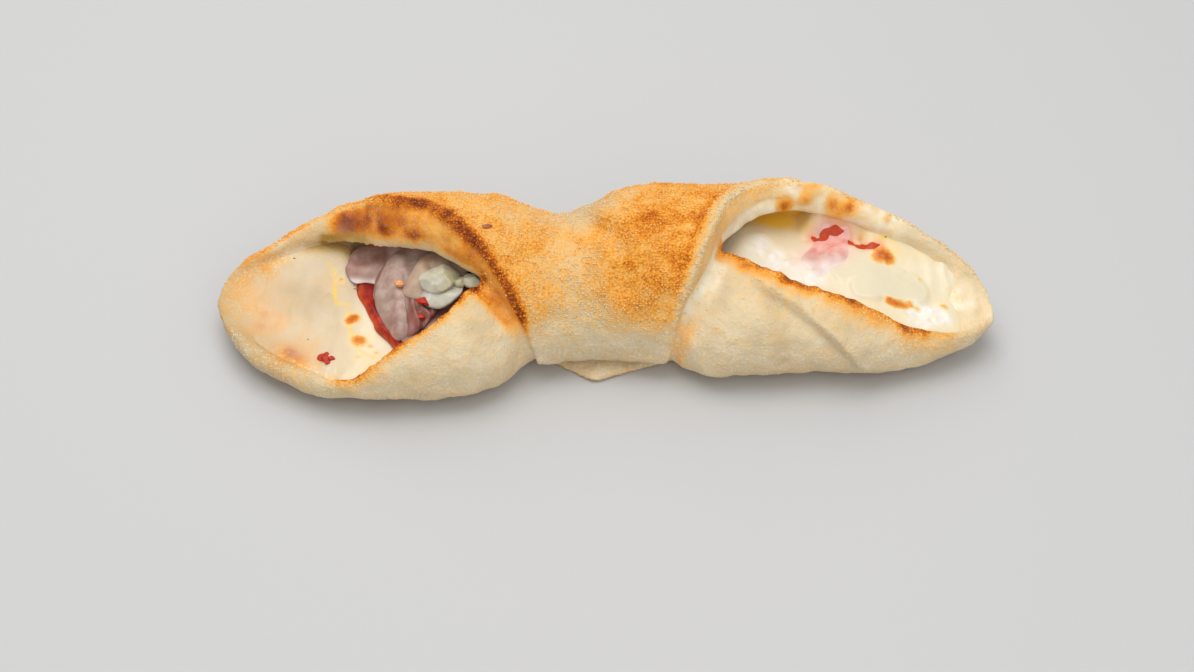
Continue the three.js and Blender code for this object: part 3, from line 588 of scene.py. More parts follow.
def dough_skin():
    """The fused skin of trough, back sheet and tucked corner, relaxed off the voxel steps; the two
    tongues are relaxed further, where the sheet closes up smoothly."""
    x = HALF_LENGTH * np.sin(np.linspace(-1, 1, 420) * np.pi / 2)
    x = np.unique(np.concatenate([x, np.linspace(-50, -18, 200), np.linspace(18, 50, 200)]))
    trough = rounded_off(hull_sections(x), 0.5)
    wrap = rounded_off(wrap_sections(x)[0], 0.15 * lines_at(x)["edgeT"][:, None])
    rings = (along_boat(x, trough), along_boat(x, wrap), tucked_corner())
    mesh = fused([closed_tube(part) for part in rings], VOXEL)
    mesh.name = "dough"
    points = read_points(mesh) / MM
    edges = np.empty(len(mesh.edges) * 2, int)
    mesh.edges.foreach_get("vertices", edges)
    edges = edges.reshape(-1, 2)
    for strength in (0.6, -0.5) * 3 + (0.5, 0.3):
        points = relaxed(points, edges, strength)
    px, _, pz = points.T
    calm = np.maximum(ease((CALM[0] - px) / 10), ease((px - CALM[1]) / 10)) * ease(pz / 8)
    for strength in (0.6, -0.53) * 22:
        points = mix(points, relaxed(points, edges, strength), calm[:, None])
    points[:, 2] = points[:, 2].clip(0)
    mesh.vertices.foreach_set("co", (points * MM).ravel())
    mesh.update()
    return mesh, points, edges


def dough_masks(points):
    """Where each point lies.  on_sheet is 1 on the outer face of the back sheet and band, found by
    solving their superellipse for the distance to it and for the part of the turn; across runs from
    0 at the ridge of the free edge to 1 at its lip, and edge_face is 1 between them."""
    x = np.linspace(-HALF_LENGTH, HALF_LENGTH, 800)
    _, ridge, lip = wrap_sections(x)
    line = lines_at(x)
    ridge, lip = np.column_stack([x, ridge]), np.column_stack([x, lip])
    flap = np.column_stack([x, line["flapY"], line["flapZ"]])
    px, py, pz = points.T
    at = lines_at(px)
    behind = py > at["crownY"]
    half_y = np.where(behind, at["backY"] - at["crownY"], at["crownY"] - at["bandY"]).clip(1)
    foot = np.where(behind, at["backZ"], BAND_FOOT)
    half_z = np.where(pz > foot, at["crownZ"] - foot, foot - BAND_TOE).clip(1)
    out_y, out_z = np.abs(py - at["crownY"]) / half_y, np.abs(pz - foot) / half_z
    size = (out_y**CROWN_POWER + out_z**CROWN_POWER) ** (1 / CROWN_POWER)
    off = (size - 1) * np.hypot(py - at["crownY"], pz - foot)
    up = np.sign(pz - foot) * out_z ** (CROWN_POWER / 2)
    over = np.where(behind, 1, -1) * out_y ** (CROWN_POWER / 2)
    angle = np.degrees(np.arctan2(up, over)) % 360
    angle = np.where(angle > 300, angle - 360, angle)
    to_ridge, to_lip = distance_to(points, ridge), distance_to(points, lip)
    spread = to_ridge + to_lip
    left, right = ease((-22 - px) / 6), ease((px - 20) / 6)
    slope = on_tongue(px) * ease((py - at["flapY"]) / 3) * ease((at["crownY"] + 1 - py) / 4) * (pz > 8)
    return {
        "on_sheet": bell(np.abs(off).clip(1.2) - 1.2) * ease((at["turn"] + 6 - angle) / 6) * (angle > -30),
        "height": ease((pz - 17) / 17 + 0.9 * ease((np.abs(px) - 70) / 30) * ease((at["crownZ"] - 12) / 25)),
        "edge_face": bell((spread - np.hypot(at["edgeT"], at["leanT"]) - 2.5).clip(0) / 2.5) * (to_ridge < 20)
        * ease((off + at["edgeT"] + 1.5) / 2) * ease((3.5 - off) / 2),
        "proud": ease((off + 3) / 2), "tongue": slope,
        "across": to_ridge / spread.clip(0.1),
        "to_ridge": to_ridge, "to_lip": to_lip,
        "within": ease((-off - 0.55 * at["wallT"]) / 1.5) * ease((pz - 12) / 4) * (py > at["flapY"] + 2),
        "to_flap": distance_to(points, flap[(x < -44) | (x > 40)]),
        "right": right, "left_gape": left * ease((px + 103) / 9),
    }


def waxen(points):
    """1 in the middle of the left tongue, where cheese has soaked in, fading to 0 at its rims."""
    px, py, pz = points.T
    line = lines_at(px)
    rim = np.minimum.reduce([py - line["flapY"], line["crownY"] + 1 - py, px + 132])
    return ease((-80 - px) / 10) * ease((rim - 1 + 2.5 * lumps(points, 7, 23)) / 8) * (pz > 8)


def dusky(points):
    """How dull the crust is, from the left tip's own duller tan and from painted shade at the other
    lines: the greatest of the bells round those lines.
    """
    return np.maximum.reduce([amount * near(points, curve, reach) for curve, reach, amount in DULL_AND_SHADE_LINES])


def floury(points):
    """How much loose flour lies on the crust: most near the foot, in drifts, less on top."""
    return np.clip(0.7 * ease((27 - points[:, 2]) / 12) + 0.25 + 0.35 * lumps(points, 9, 21), 0, 1)


def dough_relief(points, masks):
    """Height of the relief in mm: uneven skin, granular crust, creases, blisters and the valley."""
    px, _, pz = points.T
    height = sum(tall * lumps(points, size, seed) for size, tall, seed in UNEVEN)
    height = height * (1 - 0.85 * masks["tongue"])
    height += 0.14 * masks["on_sheet"] * masks["height"] * lumps(points, 1.8, 6)
    bead = bell(masks["to_flap"] / 2.4) * ease((px + 98) / 10) * ease((124 - px) / 14)
    height += 0.45 * bead * (1 + lumps(points, 2.4, 7))
    ridge = bell(masks["to_ridge"] / 2.2) * masks["left_gape"]
    height += 0.35 * ridge * lumps(points, 3.0, 8)
    height += 0.5 * masks["edge_face"] * masks["left_gape"] * lumps(points, 6.5, 9)
    d = distance_to(points, through(VALLEY))
    height = height - 1.5 * bell(d / 3.2) + 0.6 * bell((d - 6) / 3)
    crease = through(BELLY_CREASE)
    side = (distance_to(points, crease - (0.8, 0, 2)) - distance_to(points, crease + (0.8, 0, 2))) / 4
    d = distance_to(points, crease)
    height += 1.2 * bell(d / 1.5) + 1.7 * (2 * ease(0.5 + 2.0 * side) - 1) * bell(d / 5)
    for curve, tall, width in PLEATS:
        height += tall * near(points, curve, width)
    for centre, radius, tall, _ in BLISTERS:
        height += tall * near(points, centre, 0.8 * radius)
    return height * ease(pz / 4)


def dough_toast(points, masks):
    """How far each point is baked: 0 is raw-pale, 0.4 golden, 0.6 orange-brown, 1 dark brown."""
    px, py, pz = points.T
    broad, fine = lumps(points, 15, 11), lumps(points, 5, 12)
    open_x = ease((px + 98) / 10) * ease((126 - px) / 22)
    crown = smooth(CROWN_TOAST, px) * (1 + 0.22 * broad + 0.16 * fine)
    toast = 0.10 + 0.035 * broad + 0.025 * fine
    toast += masks["on_sheet"] * masks["height"] * crown * (1 - 0.75 * near(points, SADDLE, 9))
    # the thick free edge at the left: brown along its ridge, tan across, pale at the lip
    tan = mix(0.66, 0.53, ease((px + 72) / 18)) + 0.10 * broad + 0.11 * fine
    tan = tan - (tan - 0.12) * ease((masks["across"] - 0.56) / 0.30)
    face = masks["edge_face"] * masks["left_gape"]
    toast = mix(toast, mix(0.14, tan, ease((pz - 19) / 10)), face * ease(masks["across"] / 0.12))
    ridge = masks["left_gape"] * bell(masks["to_ridge"] / 3.3) * ease((-24 - px) / 5) * masks["on_sheet"]
    toast += ridge * (0.37 + 0.08 * fine) * ease((px + 88) / 20) * ease((pz - 14) / 10)
    # the thin free edge at the right: an orange band outside it, a pale lip inside it
    edge = masks["right"] * ease((66 - px) / 14)
    toast += 0.16 * edge * bell((masks["to_ridge"] - 4.5) / 2.2) * masks["on_sheet"]
    toast = mix(toast, 0.29 - 0.25 * ease((masks["across"] - 0.40) / 0.25), edge * masks["edge_face"])
    toast -= 0.20 * edge * bell(masks["to_ridge"] / 0.9)
    # the rim at the right: golden blotches of oil and melted cheese
    rim = masks["edge_face"] * ease((px - 56) / 8) * ease((108 - px) / 12)
    blotches = 0.10 + 0.24 * lumps(points, 5, 13).clip(-0.3, 1)
    toast += rim * blotches * ease((0.9 - masks["across"]) / 0.3)
    # browned free edges of the front flaps
    outside = py < lines_at(px)["flapY"]
    width = np.where(outside, mix(3.0, 5.0, masks["right"]), mix(1.6, 2.4, masks["right"]))
    brown = 0.58 + 0.14 * fine + 0.14 * lumps(points, 2.2, 14) + 0.08 * masks["right"] * ease((62 - px) / 14)
    toast += bell(masks["to_flap"] / width) * open_x * brown
    below = bell((masks["to_flap"] - 5) / 4) * outside * masks["right"]
    toast += 0.16 * below * open_x * (0.7 + 0.6 * fine)
    for centre, radius, more in PATCHES:
        toast += more * near(points, centre, radius) * (1 + 0.5 * fine)
    for centre, radius, _, brown in BLISTERS:
        toast += brown * near(points, centre, radius)
    toast += 0.22 * ease((3 - pz) / 3)
    return np.clip(toast, 0, 1)


def add(tree, kind, settings=(), **sockets):
    """A shader node with its settings, and its sockets set or linked as in plug."""
    made = tree.nodes.new(kind)
    for name, value in dict(settings).items():
        setattr(made, name, value)
    plug(tree, made, **sockets)
    return made


def reckon(tree, operation, a, b=0.0, c=0.0):
    """One step of arithmetic between sockets and numbers."""
    return add(tree, "ShaderNodeMath", {"operation": operation}, _0=a, _1=b, _2=c).outputs[0]


def swing(tree, noise, amount, rest=0.0):
    """Noise from 0 to 1 as a swing either way: (noise - 0.5) times amount, plus the rest."""
    return reckon(tree, "MULTIPLY_ADD", reckon(tree, "SUBTRACT", noise, 0.5), amount, rest)


def ramp(tree, value, stops):
    """Colours, or greys given as one number, at places from 0 to 1."""
    made = add(tree, "ShaderNodeValToRGB", _0=value)
    elements = made.color_ramp.elements
    while len(elements) < len(stops):
        elements.new(0.5)
    for element, (place, colour) in zip(elements, stops):
        element.position = place
        element.color = (*(colour if isinstance(colour, tuple) else (colour,) * 3), 1)
    return made.outputs[0]


def layered(tree, colour, *layers, kind="MIX"):
    """A colour with others laid over it in turn: each layer is how much of it, and its colour."""
    for amount, over in layers:
        over = (*over, 1) if isinstance(over, tuple) else over
        colour = add(tree, "ShaderNodeMix", {"data_type": "RGBA", "blend_type": kind},
                     _0=amount, _6=colour, _7=over).outputs[2]
    return colour


def new_group(name, inputs, outputs):
    """A node group with named sockets, its entry and its exit.  Colour sockets end in Colour."""
    tree = bpy.data.node_groups.new(name, "ShaderNodeTree")
    for names, way in ((inputs, "INPUT"), (outputs, "OUTPUT")):
        for socket in names:
            kind = "NodeSocketColor" if socket.endswith("Colour") else "NodeSocketFloat"
            tree.interface.new_socket(socket, in_out=way, socket_type=kind)
    return tree, tree.nodes.new("NodeGroupInput"), tree.nodes.new("NodeGroupOutput")


def crumb_group():
    """Crumb and grain of baked food: noise at three sizes on Object coordinates, each from 0 to 1."""
    tree, entry, leave = new_group("crumb_and_grain", ("Grain Size",), ("Grain", "Mottle", "Patch"))
    place = add(tree, "ShaderNodeTexCoord").outputs["Object"]
    scale = reckon(tree, "DIVIDE", 1.0, entry.outputs["Grain Size"])
    for name, coarser, detail in (("Grain", 1.0, 2.0), ("Mottle", 0.2, 3.0), ("Patch", 0.05, 2.0)):
        noise = add(tree, "ShaderNodeTexNoise", Vector=place, Scale=reckon(tree, "MULTIPLY", scale, coarser),
                    Detail=detail, Roughness=0.6)
        tree.links.new(noise.outputs[0], leave.inputs[name])
    return tree


CRUMB = crumb_group()


def crumb(tree, grain_size):
    """Grain, mottle and patch noise for a grain of the given size in metres."""
    made = add(tree, "ShaderNodeGroup", {"node_tree": CRUMB}, Grain_Size=grain_size)
    return (made.outputs[name] for name in ("Grain", "Mottle", "Patch"))


def read(tree, *names):
    """Attributes that were painted on the mesh: one output, or a list of them."""
    found = [add(tree, "ShaderNodeAttribute", {"attribute_name": name}).outputs["Fac"] for name in names]
    return found if len(found) > 1 else found[0]


def roughen(tree, shader, height, strength, distance):
    """Fine relief in the shading: the given height times distance in metres."""
    bump = add(tree, "ShaderNodeBump", Strength=strength, Distance=distance, Height=height)
    plug(tree, shader, Normal=bump.outputs[0])


def glow_through(tree, shader, weight, radius, scale):
    """Light that spreads inside the food: how much of it, and how far red, green and blue go as parts
    of scale, in metres."""
    plug(tree, shader, Subsurface_Weight=weight, Subsurface_Radius=radius, Subsurface_Scale=scale)


CRUST = (                     # colours of the crust as it bakes
    (0.00, (0.76, 0.64, 0.44)), (0.12, (0.78, 0.61, 0.36)), (0.26, (0.85, 0.54, 0.22)),
    (0.42, (0.93, 0.46, 0.09)), (0.56, (0.84, 0.31, 0.018)), (0.70, (0.60, 0.15, 0.004)),
    (0.86, (0.30, 0.055, 0.002)), (1.00, (0.12, 0.022, 0.002)),
)
FLOUR_COLOUR = (0.88, 0.80, 0.64)
SOAKED_COLOUR = (0.66, 0.56, 0.43)
FLOUR_WEIGHT = 0.7            # how much of the crust the thickest flour hides
DULL_TINT = (0.78, 0.70, 0.60)
DULL = ((0.30, 0.6), (0.50, 0.1), (0.60, 0))   # duller patches, by noise


def crust_group():
    """Baked crust: its colour follows how far it is baked, broken up by grain and mottle, with flour
    lying in its grain, then soaked with cheese, and duller in places; Dull carries both random
    dull patches and painted shade."""
    names = ("Grain", "Mottle", "Toast", "Grain Share", "Flour", "Soaked", "Dull")
    tree, entry, leave = new_group("baked_crust", names, ("Crust Colour",))
    grain, mottle, toast, share, flour, soaked, dull = (entry.outputs[name] for name in names)
    baked = swing(tree, mottle, 0.42, swing(tree, grain, share, toast))
    fine = ramp(tree, grain, ((0.50, 0), (0.64, 1)))
    colour = layered(tree, ramp(tree, baked, CRUST), (reckon(tree, "MULTIPLY", flour, fine), FLOUR_COLOUR),
                     (reckon(tree, "MULTIPLY", soaked, 0.5), SOAKED_COLOUR))
    colour = layered(tree, colour, (dull, DULL_TINT), kind="MULTIPLY")
    tree.links.new(colour, leave.inputs["Crust Colour"])
    return tree


BAKED_CRUST = crust_group()


def dough_material():
    """Baked crust, with a skin of melted cheese and of oil where they have run over the rim, and
    painted shade under the left rim: olive with oil on its lip, olive on the wall inside it.
    """
    material, tree, shader = new_material("baked_dough")
    grain, mottle, patch = crumb(tree, 0.0008)
    toast, flour, grainy, cheesy, gold, waxy, olive, dusk = read(
        tree, "toast", "flour", "grainy", "cheesy", "gold", "waxy", "olive", "dusky")
    dull = reckon(tree, "MULTIPLY", ramp(tree, patch, DULL), reckon(tree, "SUBTRACT", 1.0, grainy))
    # Dull takes the random dull patches and the painted shade read from the mesh.
    crust = add(tree, "ShaderNodeGroup", {"node_tree": BAKED_CRUST}, Grain=grain, Mottle=mottle, Toast=toast,
                Grain_Share=reckon(tree, "MULTIPLY_ADD", grainy, 0.55, 0.35), Flour=flour, Soaked=waxy,
                Dull=reckon(tree, "MAXIMUM", dull, dusk))
    melted = ramp(tree, mottle, ((0.35, (0.93, 0.73, 0.40)), (0.6, (0.95, 0.89, 0.74))))
    veil = reckon(tree, "MULTIPLY", cheesy, ramp(tree, toast, ((0.16, 1), (0.34, 0))))
    colour = layered(tree, crust.outputs[0], (veil, melted), (gold, (0.90, 0.52, 0.03)),
                     (olive, (0.42, 0.24, 0.04)))
    matt = ramp(tree, grain, ((0.3, 0.78), (0.7, 0.50)))
    rough = reckon(tree, "SUBTRACT", matt, reckon(tree, "MULTIPLY", veil, 0.3))
    plug(tree, shader, Base_Color=colour, Roughness=rough, Specular_IOR_Level=0.2)
    glow_through(tree, shader, 0.12, (1.0, 0.5, 0.25), 0.0015)
    height = reckon(tree, "MULTIPLY", grain, reckon(tree, "MULTIPLY_ADD", grainy, 0.8, 0.35))
    height = reckon(tree, "ADD", height, reckon(tree, "MULTIPLY", mottle, 1.2))
    even = reckon(tree, "MAXIMUM", waxy, cheesy)
    height = reckon(tree, "MULTIPLY", height, reckon(tree, "MULTIPLY_ADD", even, -0.8, 1.0))
    roughen(tree, shader, height, 0.8, 0.0010)
    return material


def bake_dough():
    """The finished dough.  Returns its points, their outward directions and where each lies, for what
    is strewn on it."""
    mesh, points, edges = dough_skin()
    normals = read_points(mesh, "normal")
    masks = dough_masks(points)
    points = points + normals * dough_relief(points, masks)[:, None]
    for strength in (0.5, -0.45) * 2:
        points = relaxed(points, edges, strength)
    right_lip = masks["right"] * ease((80 - points[:, 0]) / 10)
    lip = bell(masks["to_lip"] / 3) * np.maximum(masks["left_gape"], right_lip)
    for _ in range(12):
        points = mix(points, relaxed(points, edges, 0.6), lip[:, None])
    points[:, 2] = points[:, 2].clip(0)
    mesh.vertices.foreach_set("co", (points * MM).ravel())
    px, _, pz = points.T
    toast = dough_toast(points, masks)
    band = masks["on_sheet"] * ease((px + 100) / 20) * ease((96 - px) / 20)
    grainy = np.clip(0.9 * band * ease((pz - 16) / 12) + bell(masks["to_flap"] / 4.5), 0, 1)
    waxy = waxen(points)
    flour = floury(points) * (1 - grainy)
    flour = flour * (1 - 0.9 * np.maximum(waxy, masks["tongue"] * ease(px / 10)))
    grainy = grainy * (1 - waxy)
    # Painted shade under the left rim: its lip is painted olive, oil darkened as shade, and the wall behind
    # it olive, as shade alone.
    oily_shaded_lip = masks["edge_face"] * ease((masks["across"] - 0.54) / 0.14) * ease((-80 - px) / 8)
    oily_shaded_lip = oily_shaded_lip * (0.85 + 0.5 * lumps(points, 4, 24))
    painted_shade_wall = 0.75 * masks["within"] * (1 - masks["edge_face"]) * ease((-62 - px) / 10)
    olive = ease((px + 106) / 4) * np.maximum(0.9 * oily_shaded_lip, painted_shade_wall).clip(0, 1)
    rim = masks["edge_face"] * masks["right"] * ease((112 - px) / 12)
    rim = rim * np.maximum(ease((px - 58) / 8), ease((masks["across"] - 0.4) / 0.25))
    inside = ease((px - 50) / 6) * masks["within"]
    right_tongue = masks["tongue"] * ease(px / 10) * (1 - 0.6 * ease((px - 112) / 14))
    cheesy = np.clip(rim + inside + right_tongue, 0, 1) * (0.75 + 0.25 * lumps(points, 4, 22))
    paint(mesh, toast=toast, flour=FLOUR_WEIGHT * flour, grainy=grainy, cheesy=cheesy, waxy=waxy,
          olive=olive, dusky=dusky(points), gold=inside * near(points, GOLDEN_WALL, 8))
    mesh.update()
    mesh.shade_smooth()
    mesh.materials.append(dough_material())
    dough = bpy.data.objects.new("dough_sheet", mesh)
    bpy.context.collection.objects.link(dough)
    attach(dough, "root")
    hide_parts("dough")
    return points, normals, masks


dough_points, dough_normals, dough_places = bake_dough()

# ---------------------------------------------------------------- cheese
# Melted mozzarella.  It lies as a film on the open tongue at the left, and at the right it has run
# together into a pool that laps up to the rim, with blisters where the oven caught it.
CHEESE_LEVEL = (              # least height of its top along the boat
    (-112, 12), (-84, 12.5), (-66, 12), (-40, 12.4), (6, 12.5), (22, 20), (36, 24.5), (70, 25), (92, 24),
    (106, 20.5), (118, 17.5), (125, 15.5), (130, 13),
)
CHEESE_FILM = 1.5             # melted cheese on the floor beside the pools
CHEESE_ENDS = (-128, 129)
# Browned blisters: centre in plan, radius, height, how brown
CHEESE_SPOTS = (
    ((-88.6, -9.4), 1.8, 0.5, 0.66), ((-90.6, -12.0), 1.5, 0.4, 0.62), ((-89.8, -10.8), 1.4, 0.3, 0.5),
    ((-86.1, -20.2), 2.7, 0.6, 0.74), ((-95.2, 7.0), 1.2, 0.3, 0.42), ((-98.4, 10.1), 0.9, 0.2, 0.3),
    ((-85.7, -28.0), 1.6, 0.2, 0.26), ((-81.8, -22.5), 1.3, 0.2, 0.32), ((-79.5, -25.5), 1.4, 0.2, 0.3),
    ((98.8, 18.6), 3.1, 1.0, 0.80), ((101.4, 16.8), 2.2, 0.6, 0.55), ((96.4, 16.2), 2.2, 0.5, 0.34),
    ((99.7, -2.9), 1.5, 0.5, 0.66), ((102.2, -3.4), 1.7, 0.5, 0.74), ((105.0, -3.1), 1.7, 0.4, 0.66),
    ((107.7, -2.1), 1.5, 0.4, 0.5), ((110.6, -3.2), 1.2, 0.3, 0.36), ((112.0, 10.2), 1.0, 0.3, 0.34),
    ((120.4, 0.6), 1.8, 0.5, 0.40), ((91.5, 26.0), 1.6, 0.4, 0.34), ((78.5, 27.0), 1.6, 0.3, 0.26),
)
FILM_FOLDS = (                # soft folds of the tongues: plan curve, height, width
    (((-112, 2), (-110, 8), (-113, 13)), 0.9, 2.2), (((-106, -16), (-108, -6), (-106, 4)), 0.8, 3.0),
    (((-110, -12), (-111, -7), (-110, -3)), 0.7, 1.3), (((-100, -22), (-98, -14), (-101, -6)), 0.6, 2.4),
    (((121.5, 20), (121, 16), (122.5, 10)), 0.9, 1.5), (((126.5, 15), (125.5, 11), (127, 5)), 1.0, 1.6),
    (((115, 20), (116.5, 13), (116, 8)), 0.5, 1.8),
)
# Plan lines: thin marks of oil on the film, oil behind the sauce at the right, and the crease along
# the back of the film, painted olive as shade with oil in it
OIL_MARKS = (((-100.5, 13.0), (-97.6, 9.6), (-97.2, 2.9), (-95.4, -3.2), (-91.0, -4.0)),
             ((-91.5, -7.0), (-90.0, -14.0), (-85.5, -24.5), (-80, -28)))
BEHIND_SAUCE = ((72, 28), (80, 30.5), (90, 28.5), (99, 25.5), (104, 21))
SHADED_OIL_CREASE = ((-107, 20), (-100, 20), (-94, 19), (-88, 18))
POOL = ((87, 13, 9), (94, 11, 8), (101, 6, 9), (108, 5, 7), (93, 3, 7), (84, 9, 5))   # lobes: x, y, radius
FOAM = ((62, 12, 6), (68, 7, 6), (73, 5, 5), (78, 27, 4), (110, -5.5, 6), (117, -5, 5), (54, 17, 5))
HAM_SHOWS = ((79.0, 18.0), 60, (13, 7.5))   # oval of ham in the pool: centre, turn, half sizes
RED_RUNS = (                  # plan lines of the sauce that has run on the cheese at the right
    ((73.6, 25.2), (76.7, 24.6), (80.4, 27.2), (85.4, 27.4)),
    ((87.0, 25.2), (89.4, 22.9), (93.7, 21.6), (98.2, 22.4)),
)


def arch(across):
    """Height of a superellipse of CROWN_POWER at a part of its half width; both run from 0 to 1."""
    return (1 - across**CROWN_POWER) ** (1 / CROWN_POWER)


def wall_line(line, level, side):
    """Plan line, in the middle of the dough's thickness, where its front flap (-1) or its back sheet
    (+1) passes the given height: the superellipse of the wall solved for its width."""
    foot_y, foot_z, top_y, top_z, thick = (
        (line["frontY"], line["frontZ"], line["flapY"], line["flapZ"], line["flapT"]) if side < 0
        else (line["backY"], line["backZ"], line["crownY"], line["crownZ"], line["wallT"]))
    rise = np.clip((level - foot_z) / (top_z - foot_z).clip(0.1), 0, 0.995)
    return top_y + (foot_y - top_y) * arch(rise) - side * 0.5 * thick


def cheese_top(x, y):
    """Level of the cheese: the pool's level along the boat, and a film over the floor beside it and
    over the tongues; the films die out at the rims.  At the right it climbs to the rim at the back."""
    line = lines_at(x)
    ends = 0.6 * np.minimum(x - CHEESE_ENDS[0], CHEESE_ENDS[1] - x) - 1.2 - 1.2 * np.sin(0.35 * y)
    wall = np.minimum.reduce([y - line["flapY"], line["backY"] - line["wallT"] - y, ends])
    film = line["floorZ"] + CHEESE_FILM - 2.5 * (1 - ease(wall / 9))
    rim = np.minimum.reduce([y - line["flapY"], line["crownY"] + 2 - y, ends])
    tongue = tongue_z(line, y) - 1.2 * (1 - ease(rim / 8)) - 0.8 * (1 - ease(rim / 2))
    run = on_tongue(x)
    level = np.maximum(mix(film, tongue, run) + 5 * run * (1 - run) * (x < 0), smooth(CHEESE_LEVEL, x))
    lip_z = line["crownZ"] - 0.85 * line["edgeT"]
    level += 6 * bell(np.hypot((x - 49) / 12, (y - 20) / 14))
    climb = ease((y - line["crownY"] + 1) / 7) * ease((x - 68) / 10) * ease((118 - x) / 12)
    return level + climb * (lip_z - level).clip(0)


def plan_distance(x, y, centre):
    """Distance in plan from each point to a centre."""
    return np.hypot(x - centre[0], y - centre[1])


def plan_lumps(x, y, size, seed):
    """The random field of lumps, read in plan and returned in the shape of x."""
    return lumps(np.stack([x.ravel(), y.ravel(), 0 * x.ravel()], -1), size, seed).reshape(x.shape)


def in_blobs(x, y, blobs, soft):
    """1 inside any of the round blobs, 0 outside, with a wavy border soft mm wide."""
    outside = np.minimum.reduce([plan_distance(x, y, blob) - blob[2] for blob in blobs])
    return ease(0.5 - (outside + 1.6 * plan_lumps(x, y, 6, 36)) / soft)


def from_ham(x, y):
    """How far a point in plan is from the middle of the ham's oval: 1 on its wavy border."""
    (cx, cy), turn, (half_long, half_wide) = HAM_SHOWS
    way = np.radians(turn)
    along = ((x - cx) * np.cos(way) + (y - cy) * np.sin(way)) / half_long
    aside = ((y - cy) * np.cos(way) - (x - cx) * np.sin(way)) / half_wide
    return np.hypot(along, aside) + 0.1 * np.sin(5 * np.arctan2(aside, along))


def in_right_opening(x):
    """1 in the right opening, where the cheese has run together, 0 left of it."""
    return ease((x - 46) / 10)


def cheese_surface(x, y):
    """Top of the cheese with its soft unevenness, raised blisters, the thicker pool and the foam."""
    pools = in_right_opening(x)
    height = (0.55 * plan_lumps(x, y, 12, 31) + 0.22 * plan_lumps(x, y, 5, 32)) * mix(0.8, 1.0, pools)
    for centre, radius, tall, _ in CHEESE_SPOTS:
        height += tall * bell(plan_distance(x, y, centre) / (0.8 * radius))
    foam = 0.7 * plan_lumps(x, y, 2.2, 34) * in_blobs(x, y, FOAM, 5)
    height += pools * (1.2 * in_blobs(x, y, POOL, 2.0) + foam)
    flat = np.stack([x.ravel(), y.ravel()], -1)
    for curve, tall, width in FILM_FOLDS:
        height += tall * near(flat, curve, width).reshape(x.shape)
    ends = ease((x - CHEESE_ENDS[0]) / 8) * ease((CHEESE_ENDS[1] - x) / 8)
    return cheese_top(x, y) + height * ends


def cheese_material():
    """Soft cream, greyer and greener where it is thick, with buttery oil marks and browned blisters,
    and painted shade, olive with oil, in the crease along the back of the left film; the film on the
    left tongue is baked into the crust and takes its colours, its painted shade among them."""
    material, tree, shader = new_material("melted_cheese")
    grain, mottle, patch = crumb(tree, 0.0012)
    toast, oil, white, thick, baked_on, pink = read(tree, "toast", "oil", "white", "thick", "film", "pink")
    waxy, flour, crust, dusk, red, olive = read(tree, "waxy", "flour", "crust", "dusky", "red", "olive")
    cream = ramp(tree, patch, ((0.3, (0.86, 0.70, 0.42)), (0.5, (0.84, 0.72, 0.49)),
                               (0.7, (0.85, 0.78, 0.60))))
    bare = reckon(tree, "SUBTRACT", 1.0, waxy)
    dusty = reckon(tree, "MULTIPLY_ADD", bare, 0.8, 0.2)
    # Dull takes the random dull patches and the painted shade read from the mesh.
    film = add(tree, "ShaderNodeGroup", {"node_tree": BAKED_CRUST}, Grain=grain, Mottle=mottle, Toast=crust,
               Grain_Share=reckon(tree, "MULTIPLY", dusty, 0.35), Soaked=waxy,
               Flour=reckon(tree, "MULTIPLY", flour, dusty),
               Dull=reckon(tree, "MAXIMUM", ramp(tree, patch, DULL), dusk))
    baked = reckon(tree, "MULTIPLY", toast, swing(tree, grain, 1.1, 1.0))
    brown = ramp(tree, baked, (
        (0.0, (0.90, 0.80, 0.56)), (0.22, (0.88, 0.60, 0.20)), (0.42, (0.82, 0.36, 0.05)),
        (0.65, (0.74, 0.22, 0.02)), (1.0, (0.48, 0.09, 0.008))))
    part = ramp(tree, baked, ((0.0, 0), (0.34, 1)))
    colour = layered(
        tree, cream, (baked_on, film.outputs[0]), (thick, (0.78, 0.70, 0.50)), (white, (0.91, 0.86, 0.79)),
        (oil, (0.95, 0.66, 0.10)), (part, brown), (pink, (0.90, 0.60, 0.50)), (red, (0.86, 0.30, 0.12)),
        (olive, (0.50, 0.30, 0.06)))
    smoothness = ramp(tree, mottle, ((0.35, 0.30), (0.7, 0.48)))
    plug(tree, shader, Base_Color=colour, Roughness=reckon(tree, "MULTIPLY_ADD", baked_on, 0.22, smoothness),
         Specular_IOR_Level=reckon(tree, "MULTIPLY_ADD", baked_on, -0.3, 0.5))
    glow_through(tree, shader, 0.25, (1.0, 0.75, 0.45), 0.002)
    height = reckon(tree, "ADD", reckon(tree, "MULTIPLY", mottle, 0.8), reckon(tree, "MULTIPLY", grain, 0.15))
    skin = reckon(tree, "MULTIPLY_ADD", grain, 0.35, reckon(tree, "MULTIPLY", mottle, 1.2))
    skin = reckon(tree, "MULTIPLY", skin, reckon(tree, "MULTIPLY", baked_on, bare))
    roughen(tree, shader, reckon(tree, "MULTIPLY_ADD", skin, 2.0, height), 0.5, 0.0006)
    return material


def finish_piece(piece, node, material):
    """Gives a piece its material and its body, and hides the part of the model that it stands for, if any."""
    piece.data.materials.append(material)
    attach(piece, "root")
    if node:
        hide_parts(node)


